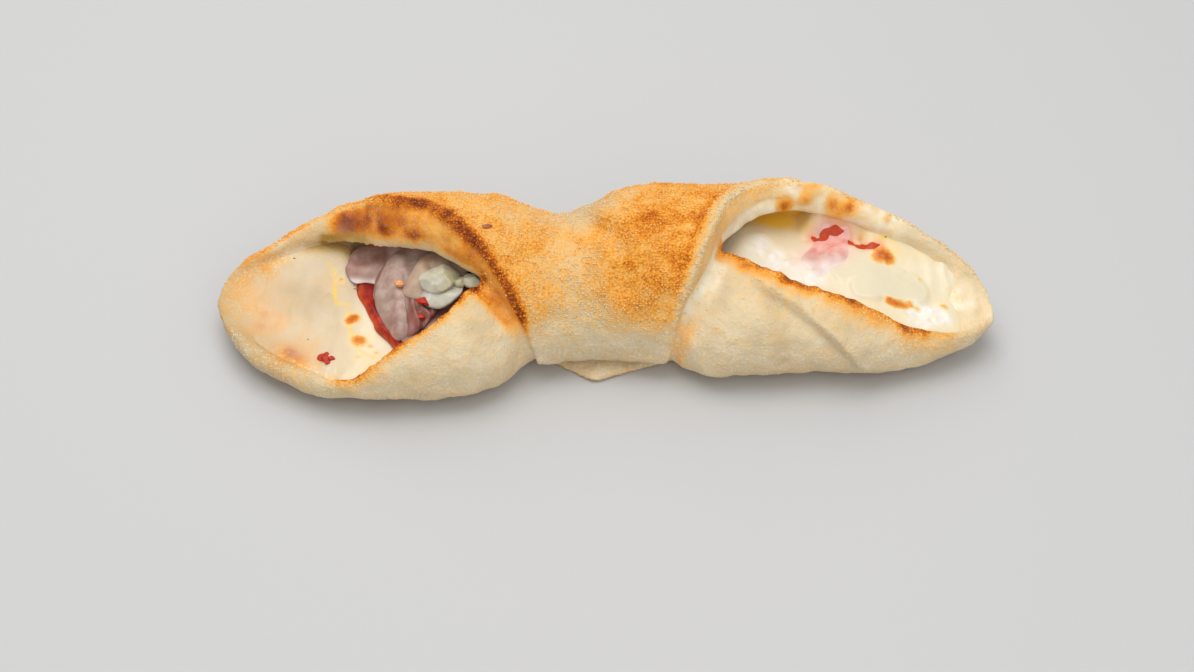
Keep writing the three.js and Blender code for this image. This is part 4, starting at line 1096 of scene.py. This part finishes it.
def pour_cheese():
    """A net from wall to wall along the boat, and an underside 3 mm below it inside the dough."""
    x = np.linspace(CHEESE_ENDS[0], CHEESE_ENDS[1], 400)[:, None]
    t = (1 - np.cos(np.pi * np.linspace(0.02, 0.98, 110)))[None] / 2
    line = lines_at(x)
    level = np.maximum(smooth(CHEESE_LEVEL, x), line["floorZ"] - 1)
    front = np.minimum(wall_line(line, level, -1), line["flapY"] + 1)
    y = mix(front, wall_line(line, level, 1), t)
    wide = np.broadcast_to(x, y.shape)
    upper = np.stack([wide, y, cheese_surface(wide, y)], -1)
    points, faces = closed_slab(upper, upper - (0, 0, 3))
    piece = new_object("melted_cheese", points, faces)
    px, py = points[:, 0], points[:, 1]
    flat = points[:, :2]
    toast = sum(brown * bell(plan_distance(px, py, centre) / radius)
                for centre, radius, _, brown in CHEESE_SPOTS)
    left = px < -70               # the film's side of the band, where the crust's colours show
    crust, waxy = np.zeros(len(px)), np.zeros(len(px))
    crust[left] = dough_toast(points[left], dough_masks(points[left]))
    waxy[left] = waxen(points[left])
    oil = sum(near(flat, marks, 0.8) for marks in OIL_MARKS) * (0.62 + 0.45 * lumps(points, 3, 37))
    pools = in_right_opening(px)
    white = pools * in_blobs(px, py, FOAM, 6) * (0.75 + 0.4 * lumps(points, 3, 35))
    thick = pools * in_blobs(px, py, POOL, 4)
    oil += 1.3 * ease((py - 26) / 7) * bell((px - 60) / 10)
    oil += near(flat, BEHIND_SAUCE, 2.4) * (0.45 + 0.5 * lumps(points, 4, 38)).clip(0)
    # The crease along the back of the film is painted olive: shade with oil in it.
    paint(piece.data, toast=toast.clip(0, 1), oil=oil.clip(0, 1), white=white.clip(0, 1),
          olive=0.85 * near(flat, SHADED_OIL_CREASE, 3), thick=thick, film=ease((-84 - px) / 10), crust=crust,
          waxy=waxy, dusky=dusky(points), flour=FLOUR_WEIGHT * floury(points),
          pink=0.6 * bell((from_ham(px, py) - 0.9).clip(0) / 0.5) * pools * ease((py - 6) / 10),
          red=0.75 * sum(near(flat, run, 2.2) for run in RED_RUNS).clip(0, 1))
    finish_piece(piece, "cheese", cheese_material())


pour_cheese()

# ---------------------------------------------------------------- sauce
# Cooked tomato sauce, spread on the dough under the ham; it shows as a wet red strip along the
# ham's left edge, thin and orange where it meets the cheese.
SAUCE_LOW = 12.9              # height that the sauce lies at
SAUCE_THICK = 1.8
SAUCE_SPILL = 5               # how far the sauce shows beyond the ham
HAM_RIGHT = 89                # where the ham ends under the right opening


def ham_left(y):
    """Left edge of the ham in plan: it swings from the back left towards the front right."""
    y = y + KEEL_Y
    return -83 + 5.5 * ease((4 - y) / 14) + 9 * ease((-8 - y) / 16)


def sauce_material():
    """Deep wet red with pulp in it, lighter and more orange where it is thin."""
    material, tree, shader = new_material("tomato_sauce")
    _, mottle, _ = crumb(tree, 0.0009)
    red = ramp(tree, mottle, ((0.3, (0.17, 0.002, 0.001)), (0.5, (0.30, 0.006, 0.002)),
                              (0.7, (0.52, 0.03, 0.005))))
    colour = layered(tree, red, (read(tree, "thin"), (0.66, 0.10, 0.02)),
                     (read(tree, "bright"), (0.52, 0.030, 0.006)))
    plug(tree, shader, Base_Color=colour, Roughness=0.34, Specular_IOR_Level=0.3)
    roughen(tree, shader, mottle, 0.4, 0.0006)
    return material


SAUCE_FINISH = sauce_material()


def spread_sauce():
    """A slab of even thickness with a wavy left edge and a lumpy top, as a net of x across y."""
    t = np.linspace(0, 1, 100)[:, None]
    s = np.linspace(0, 1, 90)[None] ** 1.8
    y = mix(-28.0, 34.0, t) - KEEL_Y
    wavy = 0.7 * lumps(np.column_stack([0 * t, y, 0 * t]), 5, 41)[:, None]
    edge = ham_left(y) - SAUCE_SPILL - 2.2 * bell((y - 5) / 6) + 12 * ease((y - 10) / 6) + wavy
    x = mix(edge, -30, s)
    line = lines_at(x)
    y = np.clip(y, *(wall_line(line, SAUCE_LOW + SAUCE_THICK, side) for side in (-1, 1)))
    nose = np.sqrt(np.clip((x - edge) / 2.0, 0, 1))
    top = SAUCE_LOW + 0.1 + nose * (SAUCE_THICK + 0.15 + 0.30 * plan_lumps(x, y, 3.6, 42))
    upper = np.stack([x, y, top], -1)
    lower = np.stack([x, y, np.full(x.shape, SAUCE_LOW - 0.6)], -1)
    points, faces = closed_slab(upper, lower)
    piece = new_object("tomato_sauce", points, faces)
    beyond = points[:, 0] - (ham_left(points[:, 1]) - SAUCE_SPILL)
    paint(piece.data, thin=(0.9 * bell(beyond / 1.2) * (0.6 + 0.5 * lumps(points, 2.5, 43))).clip(0, 1),
          bright=0 * beyond)
    finish_piece(piece, "sauce", SAUCE_FINISH)


spread_sauce()

# ---------------------------------------------------------------- ham
# Cooked ham in thin moist slices: a folded heap that runs through the calzone, and three slices
# that lie over it in the left opening, limp, with rounded folds.
HAM_CREST = ((-96, 15), (-84, 20), (-74, 23.2), (-66, 23.6), (-58, 24.6), (-40, 25.5), (-10, 25),
             (10, 25), (28, 24), (40, 22), (92, 21))      # height of its back along the boat
HAM_LOW = SAUCE_LOW + SAUCE_THICK + 0.36
HAM_FRONT = (-22, 15.5)       # plan line and height of its low front edge
HAM_BACK_Y = 12               # plan line from which it has its full height
PACKED_Z = 46                 # height that the heap is pressed up to under the band and the rim


def ceiling(x, y):
    """Height of the middle of the dough over a point in plan: the back sheet's superellipse, and the
    front flap's where the flap lies over the point."""
    line = lines_at(x)
    behind = y > line["crownY"]
    half = np.where(behind, line["backY"] - line["crownY"], line["crownY"] - line["bandY"])
    foot = np.where(behind, line["backZ"], BAND_FOOT)
    across = np.clip(np.abs(y - line["crownY"]) / half.clip(0.1), 0, 1)
    roof = foot + (line["crownZ"] - foot) * arch(across) - 0.75 * line["wallT"]
    across = np.clip((y - line["flapY"]) / (line["frontY"] - line["flapY"]), 0, 1)
    flap = line["frontZ"] + (line["flapZ"] - line["frontZ"]) * arch(across)
    return np.where(y < line["flapY"], np.minimum(roof, flap - 0.6 * line["flapT"]), roof)


def ham_top(x, y):
    """Upper face of the heap: low at the front, high at the back, with a rounded left edge, pressed
    up against the dough under the band and behind the rim, and sunk in the pool at the right except
    for one oval that stands just out of it."""
    climb = ease((y + KEEL_Y - HAM_FRONT[0]) / (HAM_BACK_Y - HAM_FRONT[0]))
    folds = 0.7 * np.sin(0.42 * (y + KEEL_Y) + 0.09 * x)
    rolled = np.sqrt(np.clip((x - ham_left(y)) / 7, 0, 1))
    under_band = ease((x + 46) / 18) * ease((36 - x) / 14)
    behind_rim = ease((x + 74) / 12) * ease((36 - x) / 14) * ease((y + KEEL_Y - 14) / 8)
    full = mix(HAM_FRONT[1], smooth(HAM_CREST, x), climb) + folds
    full = mix(full, PACKED_Z, np.maximum(under_band, behind_rim))
    shows = cheese_surface(x, y) + mix(0.8, -1.3, ease((from_ham(x, y) - 0.55) / 0.9))
    full = mix(full, shows, ease((x - 52) / 8))
    return mix(HAM_LOW + 0.8, np.maximum(full, HAM_LOW + 1.2), rolled)


def ham_material():
    """Pale meat, mauve-grey and beige by turns, pink where it is fresh, with a moist shine; darkened
    by painted shade where dark is painted, and whitened by a milky veil that on the heap's lit top
    is painted light.
    """
    material, tree, shader = new_material("cooked_ham")
    grain, mottle, _ = crumb(tree, 0.0009)
    pink, beige, dark, veil = read(tree, "pink", "beige", "dark", "veil")
    base = ramp(tree, mottle, ((0.3, (0.31, 0.21, 0.17)), (0.5, (0.40, 0.29, 0.24)),
                               (0.7, (0.52, 0.41, 0.35))))
    tan = ramp(tree, mottle, ((0.3, (0.46, 0.31, 0.20)), (0.7, (0.60, 0.45, 0.32))))
    blush = ramp(tree, mottle, ((0.3, (0.80, 0.30, 0.25)), (0.5, (0.86, 0.44, 0.38)),
                                (0.7, (0.90, 0.60, 0.54))))
    colour = layered(tree, base, (beige, tan), (pink, blush))
    # Painted shade: dark darkens the meat.  The veil is milk, and on the heap's lit top painted light.
    colour = layered(tree, colour, (dark, (0.66, 0.36, 0.34)), kind="MULTIPLY")
    colour = layered(tree, colour, (veil, (0.90, 0.80, 0.74)))
    plug(tree, shader, Base_Color=colour, Roughness=ramp(tree, mottle, ((0.3, 0.28), (0.7, 0.46))))
    glow_through(tree, shader, 0.25, (1.0, 0.35, 0.25), 0.0015)
    height = reckon(tree, "ADD", reckon(tree, "MULTIPLY", grain, 0.3), mottle)
    roughen(tree, shader, height, 0.35, 0.0005)
    return material


HAM_FINISH = ham_material()


def lay_ham_heap():
    """A net of x across y: the heap's top, limited by the dough above it, and its flat underside."""
    t = np.linspace(0, 1, 120)[:, None]
    s = np.linspace(0, 1, 200)[None] ** 1.5
    x = mix(ham_left(mix(-28.0, 36.0, t)), HAM_RIGHT, s)
    line = lines_at(x)
    front, back = wall_line(line, HAM_LOW + 3, -1) + 0.8, wall_line(line, HAM_LOW + 3, 1) - 0.8
    y = np.clip(mix(-28.0, 36.0, t) - KEEL_Y, front, back)
    soft = (0.35 * plan_lumps(x, y, 7, 51) + 0.12 * plan_lumps(x, y, 2.5, 52)) * ease((60 - x) / 10)
    top = np.minimum(ham_top(x, y) + soft, ceiling(x, y))
    upper = np.stack([x, y, np.maximum(top, HAM_LOW + 0.3)], -1)
    lower = np.stack([x, y, np.full(x.shape, HAM_LOW - 0.2)], -1)
    points, faces = closed_slab(upper, lower)
    piece = new_object("ham_heap", points, faces)
    px, py = points[:, 0], points[:, 1]
    fresh = ease((px - 40) / 20)
    # Painted light: the heap's top at the left, which shows in the opening, is painted paler with the veil
    # and left undarkened; the rest, outside the fresh end, is darkened as painted shade.
    painted_light = ease((-56 - px) / 8) * ease((points[:, 2] - 18) / 6)
    pale = 0.8 * ease((from_ham(px, py) - 0.75) / 0.4)
    pale += ease((17 - py) / 10) * (0.8 + 0.4 * lumps(points, 3, 55))
    paint(piece.data, pink=fresh * (0.45 + 0.6 * ease((py - 12) / 12)) + 0.12, beige=0 * px,
          dark=0.7 * (1 - fresh) * (1 - painted_light), veil=(fresh * pale + 0.35 * painted_light).clip(0, 1))
    finish_piece(piece, "ham_layer", HAM_FINISH)


lay_ham_heap()

# The slices in the left opening, each of one or two leaves: the rim of a leaf as points (x, y, z),
# its dome, its thickness, its folds as (direction in degrees, width, height, offset), and how pink,
# beige and dark it is; dark is painted shade, deepest on the front slice, then on the back one
SLICES = {
    "ham_slice_back": (
        (((-93.2, 16.4, 18.2), (-94.1, 11.1, 17.2), (-92.4, 7.6, 16.3), (-89.8, 5.6, 15.9),
          (-85.6, 6.2, 15.9), (-79.5, 5.5, 16.2), (-76.1, 12.4, 19.0), (-78.5, 19.3, 21.0),
          (-86.7, 20.6, 20.5), (-91.1, 19.0, 19.5)),
         0.3, 1.0, ((110, 3.4, 0.5, -2.0), (165, 1.6, 0.5, 5.5)), 0.06, 0.30, 0.55),),
    "ham_slice_top": (
        (((-71.5, 15.5, 26.5), (-78.0, 10.0, 24.0), (-80.8, 4.9, 20.5), (-82.3, 0.2, 17.6),
          (-81.6, -5.6, 16.4), (-79.0, -11.6, 15.9), (-76.2, -16.6, 15.9), (-72.4, -21.9, 16.1),
          (-68.6, -20.6, 17.0), (-69.2, -14.0, 18.0), (-68.5, -7.8, 20.0), (-64.4, -3.5, 23.0),
          (-62.0, 2.0, 25.0), (-58.0, 9.0, 26.5), (-63.0, 16.0, 27.5)),
         2.2, 2.2, ((25, 2.4, 0.9, 2.5), (10, 2.0, 0.7, -3.2), (60, 1.8, 0.8, -9.0)), 0.10, 0.0, 0.0),
        (((-64.4, 8.0, 28.6), (-68.6, 1.6, 26.8), (-71.2, -3.6, 24.6), (-70.8, -6.6, 23.0),
          (-66.1, -8.2, 22.6), (-60.7, -8.6, 23.2), (-54.2, -8.7, 24.6), (-49.6, -3.0, 26.6),
          (-49.4, 4.5, 28.4), (-56.2, 9.9, 29.3)),
         1.6, 1.4, ((30, 2.0, 0.7, -2.0), (5, 2.4, 0.6, 3.6)), 0.0, 0.75, 0.0)),
    "ham_slice_front": (
        (((-71.5, -8.0, 18.6), (-70.6, -14.0, 17.3), (-69.6, -20.6, 16.6), (-65.6, -19.6, 17.4),
          (-62.0, -16.0, 18.8), (-59.0, -11.3, 20.6), (-59.7, -6.5, 21.4), (-65.3, -4.5, 21.6)),
         0.7, 1.4, ((20, 1.0, 1.6, -1.2), (40, 1.0, 1.4, 2.0), (10, 0.9, 1.0, 5.0)), 0.16, 0.0, 1.0),),
}
MILK_LINE = ((-91.5, 6.2, 16), (-87, 5.6, 16), (-81.5, 6.0, 16))   # milky rim of the back slice


def leaf(rim, dome, thick, folds):
    """Points and faces of a limp leaf as a net of rings, out over its top from the middle to the rim
    and back underneath: its height runs from the middle's to the rim's, plus a dome and folds."""
    rim = np.array(rim, float)
    count = len(rim)
    looped = np.concatenate([rim[-3:], rim, rim[:4]])
    rim = finer(looped[None], 12 * (count + 6) + 1)[0, 36:36 + 12 * count]
    middle = rim.mean(0)
    part = np.linspace(0.01, 0.99, 80)[:, None]
    out = np.sin(np.pi * part) ** 0.6
    side = np.sign(0.5 - part) * (1 - out**4).clip(0) ** 0.25
    x, y = (middle[axis] + out * (rim[None, :, axis] - middle[axis]) for axis in (0, 1))
    z = middle[2] + out**1.5 * (rim[None, :, 2] - middle[2]) + dome * (1 - out**2.5)
    for direction, width, tall, shift in folds:
        way = np.radians(direction)
        across = (x - middle[0]) * np.cos(way) + (y - middle[1]) * np.sin(way) - shift
        fold = bell(across / width) - 0.45 * bell((across - 1.6 * width) / (0.5 * width))
        z = z + tall * fold * (1 - 0.5 * out**6)
    z = z + thick * (0.5 * side - 0.5)
    points, faces = closed_tube(np.stack([x, y, z], -1))
    points[:, 2] += 0.16 * lumps(points, 3, 53)
    return points, faces


def joined(parts):
    """Several closed meshes as one: their points, their faces, and how many points each has."""
    start = np.cumsum([0] + [len(points) for points, _ in parts])
    faces = [[i + first for i in face] for (_, part), first in zip(parts, start) for face in part]
    return np.concatenate([points for points, _ in parts]), faces, [len(points) for points, _ in parts]


def lay_slice(name, leaves):
    """One slice of ham: its leaves joined, each with its own pink, beige and dark."""
    points, faces, counts = joined([leaf(*values[:4]) for values in leaves])
    piece = new_object(name, points, faces)
    pink, beige, dark = (np.repeat([values[k] for values in leaves], counts) for k in (4, 5, 6))
    uneven = lumps(points, 6, 54)
    # dark: painted shade of the opening, broken up a little; veil: the back slice's milky rim.
    paint(piece.data, pink=(pink + 0.12 * uneven).clip(0, 1), beige=(beige - 0.2 * uneven).clip(0, 1),
          dark=(dark + 0.35 * lumps(points, 4, 56)).clip(0, 1), veil=0.8 * near(points, MILK_LINE, 1.5))
    finish_piece(piece, name, HAM_FINISH)


for slice_name, values in SLICES.items():
    lay_slice(slice_name, values)

# ---------------------------------------------------------------- lump of cheese
# A lump of fresh mozzarella that has kept its shape: milky, a little green, with flat broken faces,
# lying in a smear of its own milk, with two smaller glassy bits beside it.
CURD = ((-58.2, -3.6, 27.8), (6.2, 4.8, 4.0), 61)                # centre, half sizes, seed
SMALL_CURDS = (((-50.6, -4.9, 27.8), (2.4, 1.9, 1.7), 66), ((-46.0, -4.6, 28.4), (3.4, 2.8, 2.4), 56))
MILK = ((-65.5, -6.5, 23.6), (-64.0, -9.8, 22.9), (-61.0, -12.0, 22.8), (-57.6, -13.2, 23.8),
        (-53.6, -12.0, 25.6), (-50.2, -8.4, 27.2), (-51.0, -3.0, 27.8), (-57, -1.0, 27.6),
        (-63, -2.6, 26.0))


def broken_lump(centre, half, seed):
    """A ball pushed out towards a box and cut by broad facets: its radius is the least of the
    distances to thirteen planes."""
    part = np.linspace(0.02, 0.98, 60)[:, None] * np.pi
    around = np.linspace(0, 2 * np.pi, 90, endpoint=False)[None]
    ball = np.stack([np.sin(part) * np.cos(around), np.sin(part) * np.sin(around),
                     np.cos(part) + 0 * around], -1)
    ways = np.random.default_rng(seed).normal(size=(13, 3))
    ways = ways / np.linalg.norm(ways, axis=1, keepdims=True)
    reach = np.random.default_rng(seed + 1).uniform(0.86, 1.04, 13)
    facing = (ball @ ways.T).clip(0.05)
    radius = np.minimum((reach / facing).min(-1), 1.25)
    points, faces = closed_tube(ball * radius[..., None])
    points = points * half + centre
    return points + 0.15 * np.stack([lumps(points, 2.2, seed + k) for k in (2, 3, 4)], -1), faces


def set_curd():
    """The lump, the two bits and the smear of milk as one piece, greener on the lump's right side."""
    parts = [broken_lump(*CURD)] + [broken_lump(*curd) for curd in SMALL_CURDS]
    parts += [leaf(MILK, 0.8, 1.6, ((60, 2.0, 0.5, 0.0),))]
    points, faces, counts = joined(parts)
    piece = new_object("mozzarella_lump", points, faces)
    green = np.repeat([0.25, 0.9, 0.6, 0.0], counts)
    green = green + 0.55 * ease((points[:, 0] + 60) / 5) * np.repeat([1, 0, 0, 0], counts)
    paint(piece.data, green=green.clip(0, 1))
    material, tree, shader = new_material("fresh_mozzarella")
    _, mottle, _ = crumb(tree, 0.0010)
    white = ramp(tree, mottle, ((0.3, (0.56, 0.53, 0.40)), (0.55, (0.66, 0.65, 0.55)),
                                (0.7, (0.80, 0.80, 0.75))))
    whey = ramp(tree, mottle, ((0.3, (0.42, 0.37, 0.18)), (0.5, (0.56, 0.52, 0.31)),
                               (0.7, (0.70, 0.68, 0.50))))
    plug(tree, shader, Base_Color=layered(tree, white, (read(tree, "green"), whey)), Roughness=0.3)
    glow_through(tree, shader, 0.35, (1.0, 0.9, 0.6), 0.002)
    roughen(tree, shader, mottle, 0.3, 0.0005)
    finish_piece(piece, "cheese_curd", material)


set_curd()

# ---------------------------------------------------------------- bits of tomato
# Small soft pieces of cooked tomato: a clump of five on the cheese of the left tongue and three
# between the slices of ham; and two thin runs of sauce along the rim at the right.
TOMATO_BITS = (               # centre, with height 0 for on the cheese; half sizes; seed
    ((-98.0, -28.6, 0), (1.5, 1.7, 0.6), 71), ((-96.2, -30.2, 0), (1.8, 1.3, 0.8), 76),
    ((-94.4, -30.8, 0), (1.2, 1.0, 0.6), 81), ((-96.4, -27.6, 0), (0.9, 0.9, 0.5), 86),
    ((-95.4, -32.4, 0), (0.9, 0.8, 0.4), 91),
    ((-63.9, -9.6, 22.8), (2.0, 1.2, 1.0), 96), ((-62.0, -10.6, 22.4), (1.2, 0.9, 0.8), 101),
    ((-64.4, -14.9, 20.2), (1.5, 0.7, 0.7), 106),
)
STREAKS = ((RED_RUNS[0], 1.3, 0.35), (RED_RUNS[1], 1.5, 0.35))   # plan line, half width, height


def streak(line, half_width, tall):
    """A thin run of sauce along a line on the cheese: flat ellipses across it that taper at the ends."""
    centre = through(line, 70)
    along = np.gradient(centre, axis=0)
    along = along / np.linalg.norm(along, axis=1, keepdims=True)
    t = np.linspace(0, 1, 70)
    width = half_width * np.sqrt(np.sin(np.pi * t.clip(0.01, 0.99))) * (1 + 0.3 * np.sin(17 * t))
    turn = np.linspace(0, 2 * np.pi, 28, endpoint=False)
    x = centre[:, :1] - along[:, 1:] * width[:, None] * np.cos(turn)
    y = centre[:, 1:] + along[:, :1] * width[:, None] * np.cos(turn)
    z = np.maximum(cheese_surface(x, y), ham_top(x, y)) + tall * np.sin(turn)
    return closed_tube(np.stack([x, y, z], -1))


def place_tomato():
    """The bits, set at their heights or on the cheese, and the streaks, joined as one piece."""
    parts = []
    for centre, half, seed in TOMATO_BITS:
        spot = np.array(centre)
        if spot[2] == 0:
            spot[2] = cheese_surface(spot[:1], spot[1:2])[0] + 0.2
        parts.append(broken_lump(spot, half, seed))
    parts += [streak(*values) for values in STREAKS]
    points, faces, counts = joined(parts)
    piece = new_object("tomato_bits", points, faces)
    thin = np.repeat([0.0] * len(TOMATO_BITS) + [0.7] * len(STREAKS), counts)
    paint(piece.data, thin=(thin + 0.2 * lumps(points, 1.5, 72)).clip(0, 1), bright=0.8 * (1 - 0.7 * thin))
    finish_piece(piece, None, SAUCE_FINISH)


place_tomato()

# ---------------------------------------------------------------- semolina
# Grains of semolina that the dough was rolled out on: baked on all over its outside, thickest on the
# browned parts, and one by one, sunk in deeper, on the pale ones.
GRAIN_COUNT = 6500
GRAIN_SIZE = (0.22, 0.48)     # half a grain's width, in millimetres


def pebble():
    """A ball of twenty flat faces: corners of three golden rectangles."""
    g = (1 + 5**0.5) / 2
    corners = np.array([(-1, g, 0), (1, g, 0), (-1, -g, 0), (1, -g, 0), (0, -1, g), (0, 1, g), (0, -1, -g),
                        (0, 1, -g), (g, 0, -1), (g, 0, 1), (-g, 0, -1), (-g, 0, 1)], float)
    faces = np.array([(0, 11, 5), (0, 5, 1), (0, 1, 7), (0, 7, 10), (0, 10, 11), (1, 5, 9), (5, 11, 4),
                      (11, 10, 2), (10, 7, 6), (7, 1, 8), (3, 9, 4), (3, 4, 2), (3, 2, 6), (3, 6, 8),
                      (3, 8, 9), (4, 9, 5), (2, 4, 11), (6, 2, 10), (8, 6, 7), (9, 8, 1)])
    return corners / np.linalg.norm(corners[0]), faces


def strewn(places, sizes, seed):
    """Points and faces of one pebble at each place, stretched and squashed by up to a third."""
    corners, faces = pebble()
    stretch = np.random.default_rng(seed).uniform(0.7, 1.3, (len(places), 1, 3))
    points = places[:, None] + corners * sizes[:, None, None] * stretch
    numbered = faces + len(corners) * np.arange(len(places))[:, None, None]
    return points.reshape(-1, 3), numbered.reshape(-1, 3).tolist()


def strew_semolina():
    """Grains at points of the dough's outside, drawn with the same chance per point times a weight
    that is highest on the browned parts; they stand out there and are sunk in elsewhere."""
    chance = np.random.default_rng(110)
    px, py, pz = dough_points.T
    below_flap = ease((lines_at(px)["flapY"] - py) / 2)
    outside = np.maximum(dough_places["on_sheet"] * dough_places["proud"], below_flap)
    outside = outside * ease((pz - 3) / 3) * (1 - dough_places["tongue"])
    browned = dough_places["on_sheet"] * dough_places["height"]
    weight = outside * (0.15 + browned + 1.5 * bell(dough_places["to_flap"] / 5))
    weight = weight * ease(lumps(dough_points, 8, 111) + 0.7)
    chosen = chance.choice(len(px), GRAIN_COUNT, replace=False, p=weight / weight.sum())
    sizes = chance.uniform(*GRAIN_SIZE, GRAIN_COUNT)
    baked_in = mix(-0.16, 0.12, browned[chosen])[:, None]
    points, faces = strewn(dough_points[chosen] + baked_in * dough_normals[chosen], sizes, 112)
    piece = new_object("semolina_grains", points, faces)
    baked = dough_toast(dough_points[chosen], {name: value[chosen] for name, value in dough_places.items()})
    paint(piece.data, toast=np.repeat((baked - chance.uniform(0.04, 0.26, GRAIN_COUNT)).clip(0.0), 12))
    material, tree, shader = new_material("semolina")
    grain, _, _ = crumb(tree, 0.0006)
    baked = swing(tree, grain, 0.1, read(tree, "toast"))
    plug(tree, shader, Base_Color=ramp(tree, baked, CRUST), Roughness=0.45, Specular_IOR_Level=0.4)
    finish_piece(piece, None, material)


strew_semolina()

# ---------------------------------------------------------------- seed and herbs
# One brown seed baked onto the crown left of the band, an orange crumb on the ham, and dark flecks of
# dried oregano on the left tongue, among the tomato and at the rim on the right.
SEED = ((-42.0, 2.4, 47.9), (2.3, 1.0, 0.8), 14)      # place, half sizes, turn in degrees
FLECKS = (                    # place in plan, height or 0 for on the cheese, half length
    (-112.6, 14.0, 0, 0.4), (-104.0, -20.0, 0, 0.3), (-90.2, 4.4, 0, 0.4), (-57.9, -7.6, 25.6, 0.6),
    (-61.6, -9.4, 23.6, 0.5), (100.4, 25.6, 0, 0.4),
)
FLECK_HEIGHT = (0, 0, 0.15)   # how far a fleck's middle lies above what is below it
ORANGE_CRUMB = ((-73.0, -3.3, 24.6), (1.4, 1.1, 0.9), 121)


def grained(name, grain_size, dark, light, roughness):
    """A plain material of two colours, broken up by grain."""
    material, tree, shader = new_material(name)
    grain, _, _ = crumb(tree, grain_size)
    plug(tree, shader, Base_Color=ramp(tree, grain, ((0.35, dark), (0.65, light))), Roughness=roughness)
    return material


def set_seed():
    """A ball stretched to a pointed grain: its ends narrow as (1 - u^2)^0.7."""
    place, half, turn = SEED
    u = np.linspace(-0.99, 0.99, 24)[:, None]
    around = np.linspace(0, 2 * np.pi, 24, endpoint=False)[None]
    width = (1 - u**2) ** 0.7
    way = np.radians(turn)
    x, y, z = half[0] * u + 0 * around, half[1] * width * np.cos(around), half[2] * width * np.sin(around)
    turned = np.stack([x * np.cos(way) - y * np.sin(way), x * np.sin(way) + y * np.cos(way), z], -1)
    points, faces = closed_tube(turned + np.array(place))
    piece = new_object("seed", points, faces)
    brown = grained("brown_seed", 0.0005, (0.26, 0.055, 0.010), (0.52, 0.15, 0.035), 0.4)
    finish_piece(piece, None, brown)


def drop_flecks():
    """Thin flat flakes of leaf, each a squashed pebble lying on what is below it."""
    places = np.array([(x, y, z or cheese_surface(np.array([x]), np.array([y]))[0])
                       for x, y, z, _ in FLECKS]) + FLECK_HEIGHT
    points, faces = strewn(places, np.array([fleck[3] for fleck in FLECKS]), 122)
    centre = np.repeat(places, 12, axis=0)
    piece = new_object("oregano_flecks", centre + (points - centre) * (1.2, 0.7, 0.35), faces)
    green = grained("dried_oregano", 0.0004, (0.09, 0.07, 0.02), (0.20, 0.15, 0.04), 0.7)
    finish_piece(piece, None, green)


def drop_crumb():
    """A broken crumb of cheese that has taken up the sauce's colour."""
    piece = new_object("orange_crumb", *broken_lump(*ORANGE_CRUMB))
    orange = grained("tomato_cheese_crumb", 0.0006, (0.82, 0.26, 0.06), (0.92, 0.50, 0.20), 0.4)
    finish_piece(piece, None, orange)


set_seed()
drop_flecks()
drop_crumb()
